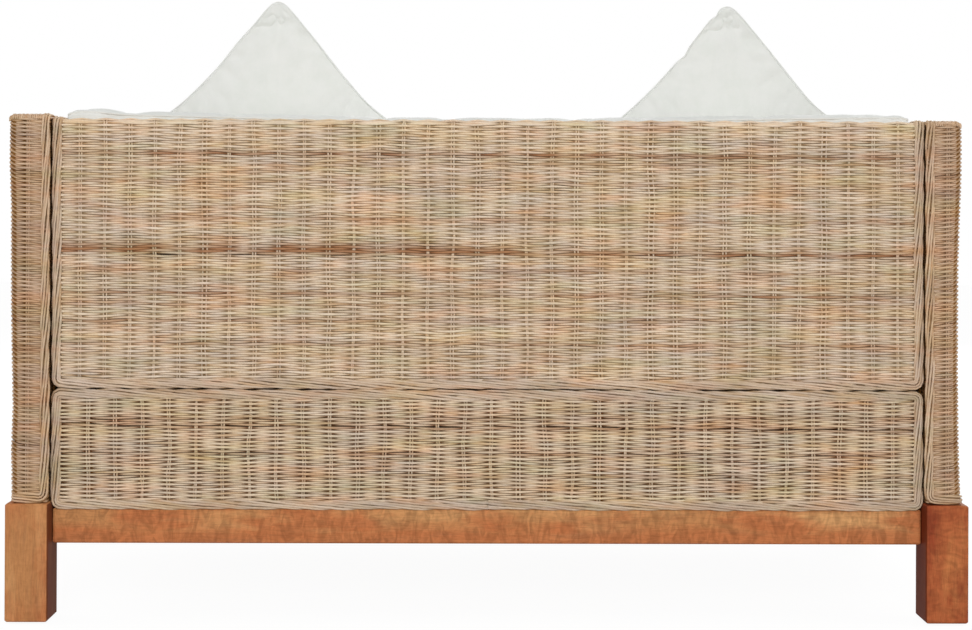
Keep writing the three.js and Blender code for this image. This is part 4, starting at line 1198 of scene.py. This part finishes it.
# The throw pillows: a fibre filling in a square cover of the same white canvas, sewn along its edge. Each
# stands on a corner on the seat and leans on the back cushion.
PILLOW_SIDE = 0.377
PILLOW_THICK = 0.128
PILLOW_DRAW_IN = 0.022
PILLOW_SLACK = 0.8
PILLOW_CAP = 0.016
PILLOW_LEAN = {"left": 20, "right": 21.3}
PILLOW_TURN = {"left": 1.9, "right": -1.1}
PILLOW_DENTS = {"left": ((2, 1, -0.45, 0.17, -0.0028), (2, 1, 0.25, 0.3, 0.0026),
                         (0, -1, 0.48, 0.25, -0.0028), (0, -1, -0.18, 0.22, 0.0035)),
                "right": ((2, 1, -0.83, 0.04, 0.0035), (2, 1, -0.42, 0.05, 0.0038),
                          (2, 1, 0.3, 0.7, 0.0048), (0, -1, 0.42, 0.35, -0.0045),
                          (0, -1, -0.2, 0.2, 0.003))}
PILLOW_DENT_REACH = 0.14
PILLOW_PUCKER_DEEP = 0.0030
PILLOW_PUCKER_APART = 0.030
PILLOW_PUCKER_REACH = 0.030
FOLD_DEEP = 0.0042
FOLD_REACH = 0.075
FOLD_START = 0.016
HOLLOW_DEEP = 0.0011
PILLOW_SEEDS = {"left": 81, "right": 82}
PILLOW_CELLS = 60
SEAM_RADIUS = 0.0011
SEAM_SIDES = 6
HOLLOWS = 5


def sewn_pillow(u, v, face):
    """Two faces that meet in a knife edge. The outline is a square with its corners rounded by
    (|u|^12 + |v|^12)^(1/12) and its sides drawn in by draw_in * (1 - q^2). The thickness is
    (cos(u pi / 2) * cos(v pi / 2))^0.75."""
    ring = np.maximum((np.abs(u) ** 12 + np.abs(v) ** 12) ** (1 / 12), 0.000001)
    share = np.maximum(np.abs(u), np.abs(v)) / ring
    p, q = u * share, v * share
    x = p * PILLOW_SIDE / 2 - p * PILLOW_DRAW_IN * (1 - q ** 2)
    z = q * PILLOW_SIDE / 2 - q * PILLOW_DRAW_IN * (1 - p ** 2)
    plump = (np.cos(u * np.pi / 2) * np.cos(v * np.pi / 2)).clip(0, 1) ** 0.75
    return np.stack([x, face * plump * PILLOW_THICK / 2, z], -1)


def pillow_creases(u, v, random):
    """Depth of a pillow's creases: puckers along its four sides, folds that fan out from its corners, and
    slow hollows, a sum of waves across it."""
    depth = 0 * u
    for across, along in ((u, v), (v, u)):
        for sign in (1, -1):
            away = (1 - sign * across) * PILLOW_SIDE / 2
            depth += puckers(along * PILLOW_SIDE / 2, away, PILLOW_PUCKER_DEEP, PILLOW_PUCKER_APART,
                             PILLOW_PUCKER_REACH, random)
    for corner_u in (1, -1):
        for corner_v in (1, -1):
            right, up = (1 - corner_u * u) * PILLOW_SIDE / 2, (1 - corner_v * v) * PILLOW_SIDE / 2
            far, turned = np.hypot(right, up), np.arctan2(up, right)
            fan = 0.5 + 0.5 * np.sin(random.uniform(11, 15) * turned + random.uniform(0, 6))
            depth += FOLD_DEEP * fan * (np.exp(-far / FOLD_REACH) - np.exp(-far / FOLD_START)).clip(0, 1)
    for wave in range(HOLLOWS):
        heading, start = random.uniform(0, np.pi), random.uniform(0, 2 * np.pi)
        run = (u * np.cos(heading) + v * np.sin(heading)) * random.uniform(3, 6.5) + start
        depth += HOLLOW_DEEP * (1 + np.sin(run)) * (1 - u ** 2) * (1 - v ** 2)
    return depth


def dent(form, places, dents):
    """Pushes the sides of a pillow in and out. A dent has its axis and side, its place along the side, its
    width and its depth, and fades by exp(-(along / width)^2 - (in from the side / reach)^2)."""
    for axis, side, spot, width, deep in dents:
        across, along = places if axis == 0 else places[::-1]
        near = np.exp(-((along - spot) / width) ** 2 - ((1 - side * across) / PILLOW_DENT_REACH) ** 2)
        form[:, axis] -= side * deep * near


pillow_canvas = canvas("pillow_canvas")
for hand in ("left", "right"):
    random = np.random.default_rng(PILLOW_SEEDS[hand])
    faces = [grid_face(1, side, (PILLOW_CELLS, 1, PILLOW_CELLS)) for side in (1, -1)]
    for points, quads in faces:
        points[:, 1] *= np.abs(points[:, [0, 2]]).max(axis=1) < ON_EDGE
    grid, quads = joined_faces(faces)
    u, face, v = grid.T
    piece, points = filled_cover(f"throw_pillow_{hand}_cover", sewn_pillow(u, v, PILLOW_SLACK * face), quads,
                                 face == 0, PILLOW_CAP)
    full = np.abs(sewn_pillow(u, v, 0 * u + 1)[:, 1])
    points[:, 1] = points[:, 1].clip(-full, full)
    put_points(piece, points)
    points = points - pillow_creases(u, v, random)[:, None] * read_normals(piece.data) * (face != 0)[:, None]
    dent(points, (u, v), PILLOW_DENTS[hand])
    rim_u, rim_v = round_square(PILLOW_CELLS)
    rim = sewn_pillow(rim_u, rim_v, 0 * rim_u)
    dent(rim, (rim_u, rim_v), PILLOW_DENTS[hand])
    lean, turn = np.radians(-PILLOW_LEAN[hand]), np.radians(45 - PILLOW_TURN[hand])
    tip = np.array([[1, 0, 0], [0, np.cos(lean), -np.sin(lean)], [0, np.sin(lean), np.cos(lean)]])
    spin = np.array([[np.cos(turn), 0, np.sin(turn)], [0, 1, 0], [-np.sin(turn), 0, np.cos(turn)]])
    stood = (tip @ spin).T
    form = sewn_pillow(u, v, face) @ stood
    low, high = (np.array(corner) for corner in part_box(f"throw_pillow_{hand}"))
    shift = (low + high - form.min(0) - form.max(0)) / 2
    finish_cover(piece, points @ stood + shift)
    fit_piece(piece, pillow_canvas, "canvas", f"throw_pillow_{hand}")
    seam = tubes(f"throw_pillow_{hand}_seam", (rim @ stood + shift)[None], (unit(rim) @ stood)[None],
                 SEAM_RADIUS, SEAM_SIDES, closed=True)
    fit_piece(seam, pillow_canvas, "canvas", f"throw_pillow_{hand}")

# The studio: a white floor that keeps a soft shadow, even light from all round with four large soft lamps,
# and a camera with a long lens behind the sofa, a little lower than its back.
FLOOR_WHITE = (205, 205, 205)
FLOOR_HALF_SIDE = 12.0
FLOOR_GLOW = 1.10
FLOOR_GLOW_SHARE = 0.86
SKY_STRENGTH = 0.36
LAMPS = (("rear_lamp", (0.3, 4.7, 1.9), 2.4, 118), ("front_lamp", (-1.2, -4.4, 2.2), 3.0, 102),
         ("left_lamp", (4.4, -0.5, 2.4), 3.0, 42), ("right_lamp", (-4.4, 0.5, 2.4), 3.0, 42))
LAMPS_AIM_HEIGHT = 0.35
PHOTO_WIDE = 972
PHOTO_MIDDLE_ROW = 315
HORIZON_ROW = 215
FOCAL_PIXELS = 1671.6
SENSOR_WIDE = 36
CAMERA_PLACE = (0.02602, 2.68846, 0.56866)
CAMERA_YAW = -0.0092
CAMERA_PITCH = -0.0023
CAMERA_ROLL = 0.0040


def seen_directly(material_or_world):
    """1 for what the camera sees itself, or by a reflection or through glass, and 0 for light on others."""
    seen = shader_node(material_or_world, "ShaderNodeLightPath").outputs
    first = maths(material_or_world, "MAXIMUM", seen["Is Camera Ray"], seen["Is Glossy Ray"])
    return maths(material_or_world, "MAXIMUM", first, seen["Is Transmission Ray"])


x, y = np.meshgrid([-FLOOR_HALF_SIDE, FLOOR_HALF_SIDE], [-FLOOR_HALF_SIDE, FLOOR_HALF_SIDE])
points = np.stack([x, y, 0 * x], -1).reshape(-1, 3)
floor = mesh_piece("floor", points, np.array([0, 1, 3, 2]), np.array([4]))
floor_paint, shader = new_material("floor_paint", 0.9)
shader.inputs["Base Color"].default_value = linear(FLOOR_WHITE)
glow = shader_node(floor_paint, "ShaderNodeEmission", Color=grey(1), Strength=FLOOR_GLOW)
share = maths(floor_paint, "MULTIPLY", seen_directly(floor_paint), FLOOR_GLOW_SHARE)
blend = shader_node(floor_paint, "ShaderNodeMixShader", _0=share, _1=shader.outputs["BSDF"],
                    _2=glow.outputs["Emission"])
surface = floor_paint.node_tree.nodes["Material Output"].inputs["Surface"]
floor_paint.node_tree.links.new(blend.outputs["Shader"], surface)
floor.data.materials.append(floor_paint)

world = bpy.data.worlds.new("studio")
bpy.context.scene.world = world
world.use_nodes = True
sky = world.node_tree.nodes["Background"]
sky.inputs["Color"].default_value = grey(1)
strength = map_range(world, seen_directly(world), 0.0, 1.0, SKY_STRENGTH, 1.0)
world.node_tree.links.new(strength, sky.inputs["Strength"])

for name, position, size, power in LAMPS:
    light = bpy.data.lights.new(name, "AREA")
    light.shape, light.size, light.energy = "DISK", size, power
    lamp = bpy.data.objects.new(name, light)
    bpy.context.collection.objects.link(lamp)
    lamp.location = position
    aim = Vector((0, 0, LAMPS_AIM_HEIGHT)) - lamp.location
    lamp.rotation_euler = aim.to_track_quat("-Z", "Y").to_euler()

lens = bpy.data.cameras.new("camera")
lens.sensor_width = SENSOR_WIDE
lens.lens = SENSOR_WIDE * FOCAL_PIXELS / PHOTO_WIDE
lens.shift_y = (HORIZON_ROW - PHOTO_MIDDLE_ROW) / PHOTO_WIDE
camera = bpy.data.objects.new("camera", lens)
bpy.context.collection.objects.link(camera)
ahead = np.array([np.sin(CAMERA_YAW) * np.cos(CAMERA_PITCH), -np.cos(CAMERA_YAW) * np.cos(CAMERA_PITCH),
                  -np.sin(CAMERA_PITCH)])
right = unit(np.cross(ahead, [0, 0, 1]))
up = np.cross(right, ahead)
turn = np.eye(4)
turn[:3, 0] = right * np.cos(CAMERA_ROLL) + up * np.sin(CAMERA_ROLL)
turn[:3, 1] = up * np.cos(CAMERA_ROLL) - right * np.sin(CAMERA_ROLL)
turn[:3, 2], turn[:3, 3] = -ahead, CAMERA_PLACE
camera.matrix_world = Matrix(turn.tolist())
bpy.context.scene.camera = camera

bpy.context.scene.view_settings.view_transform = "Standard"
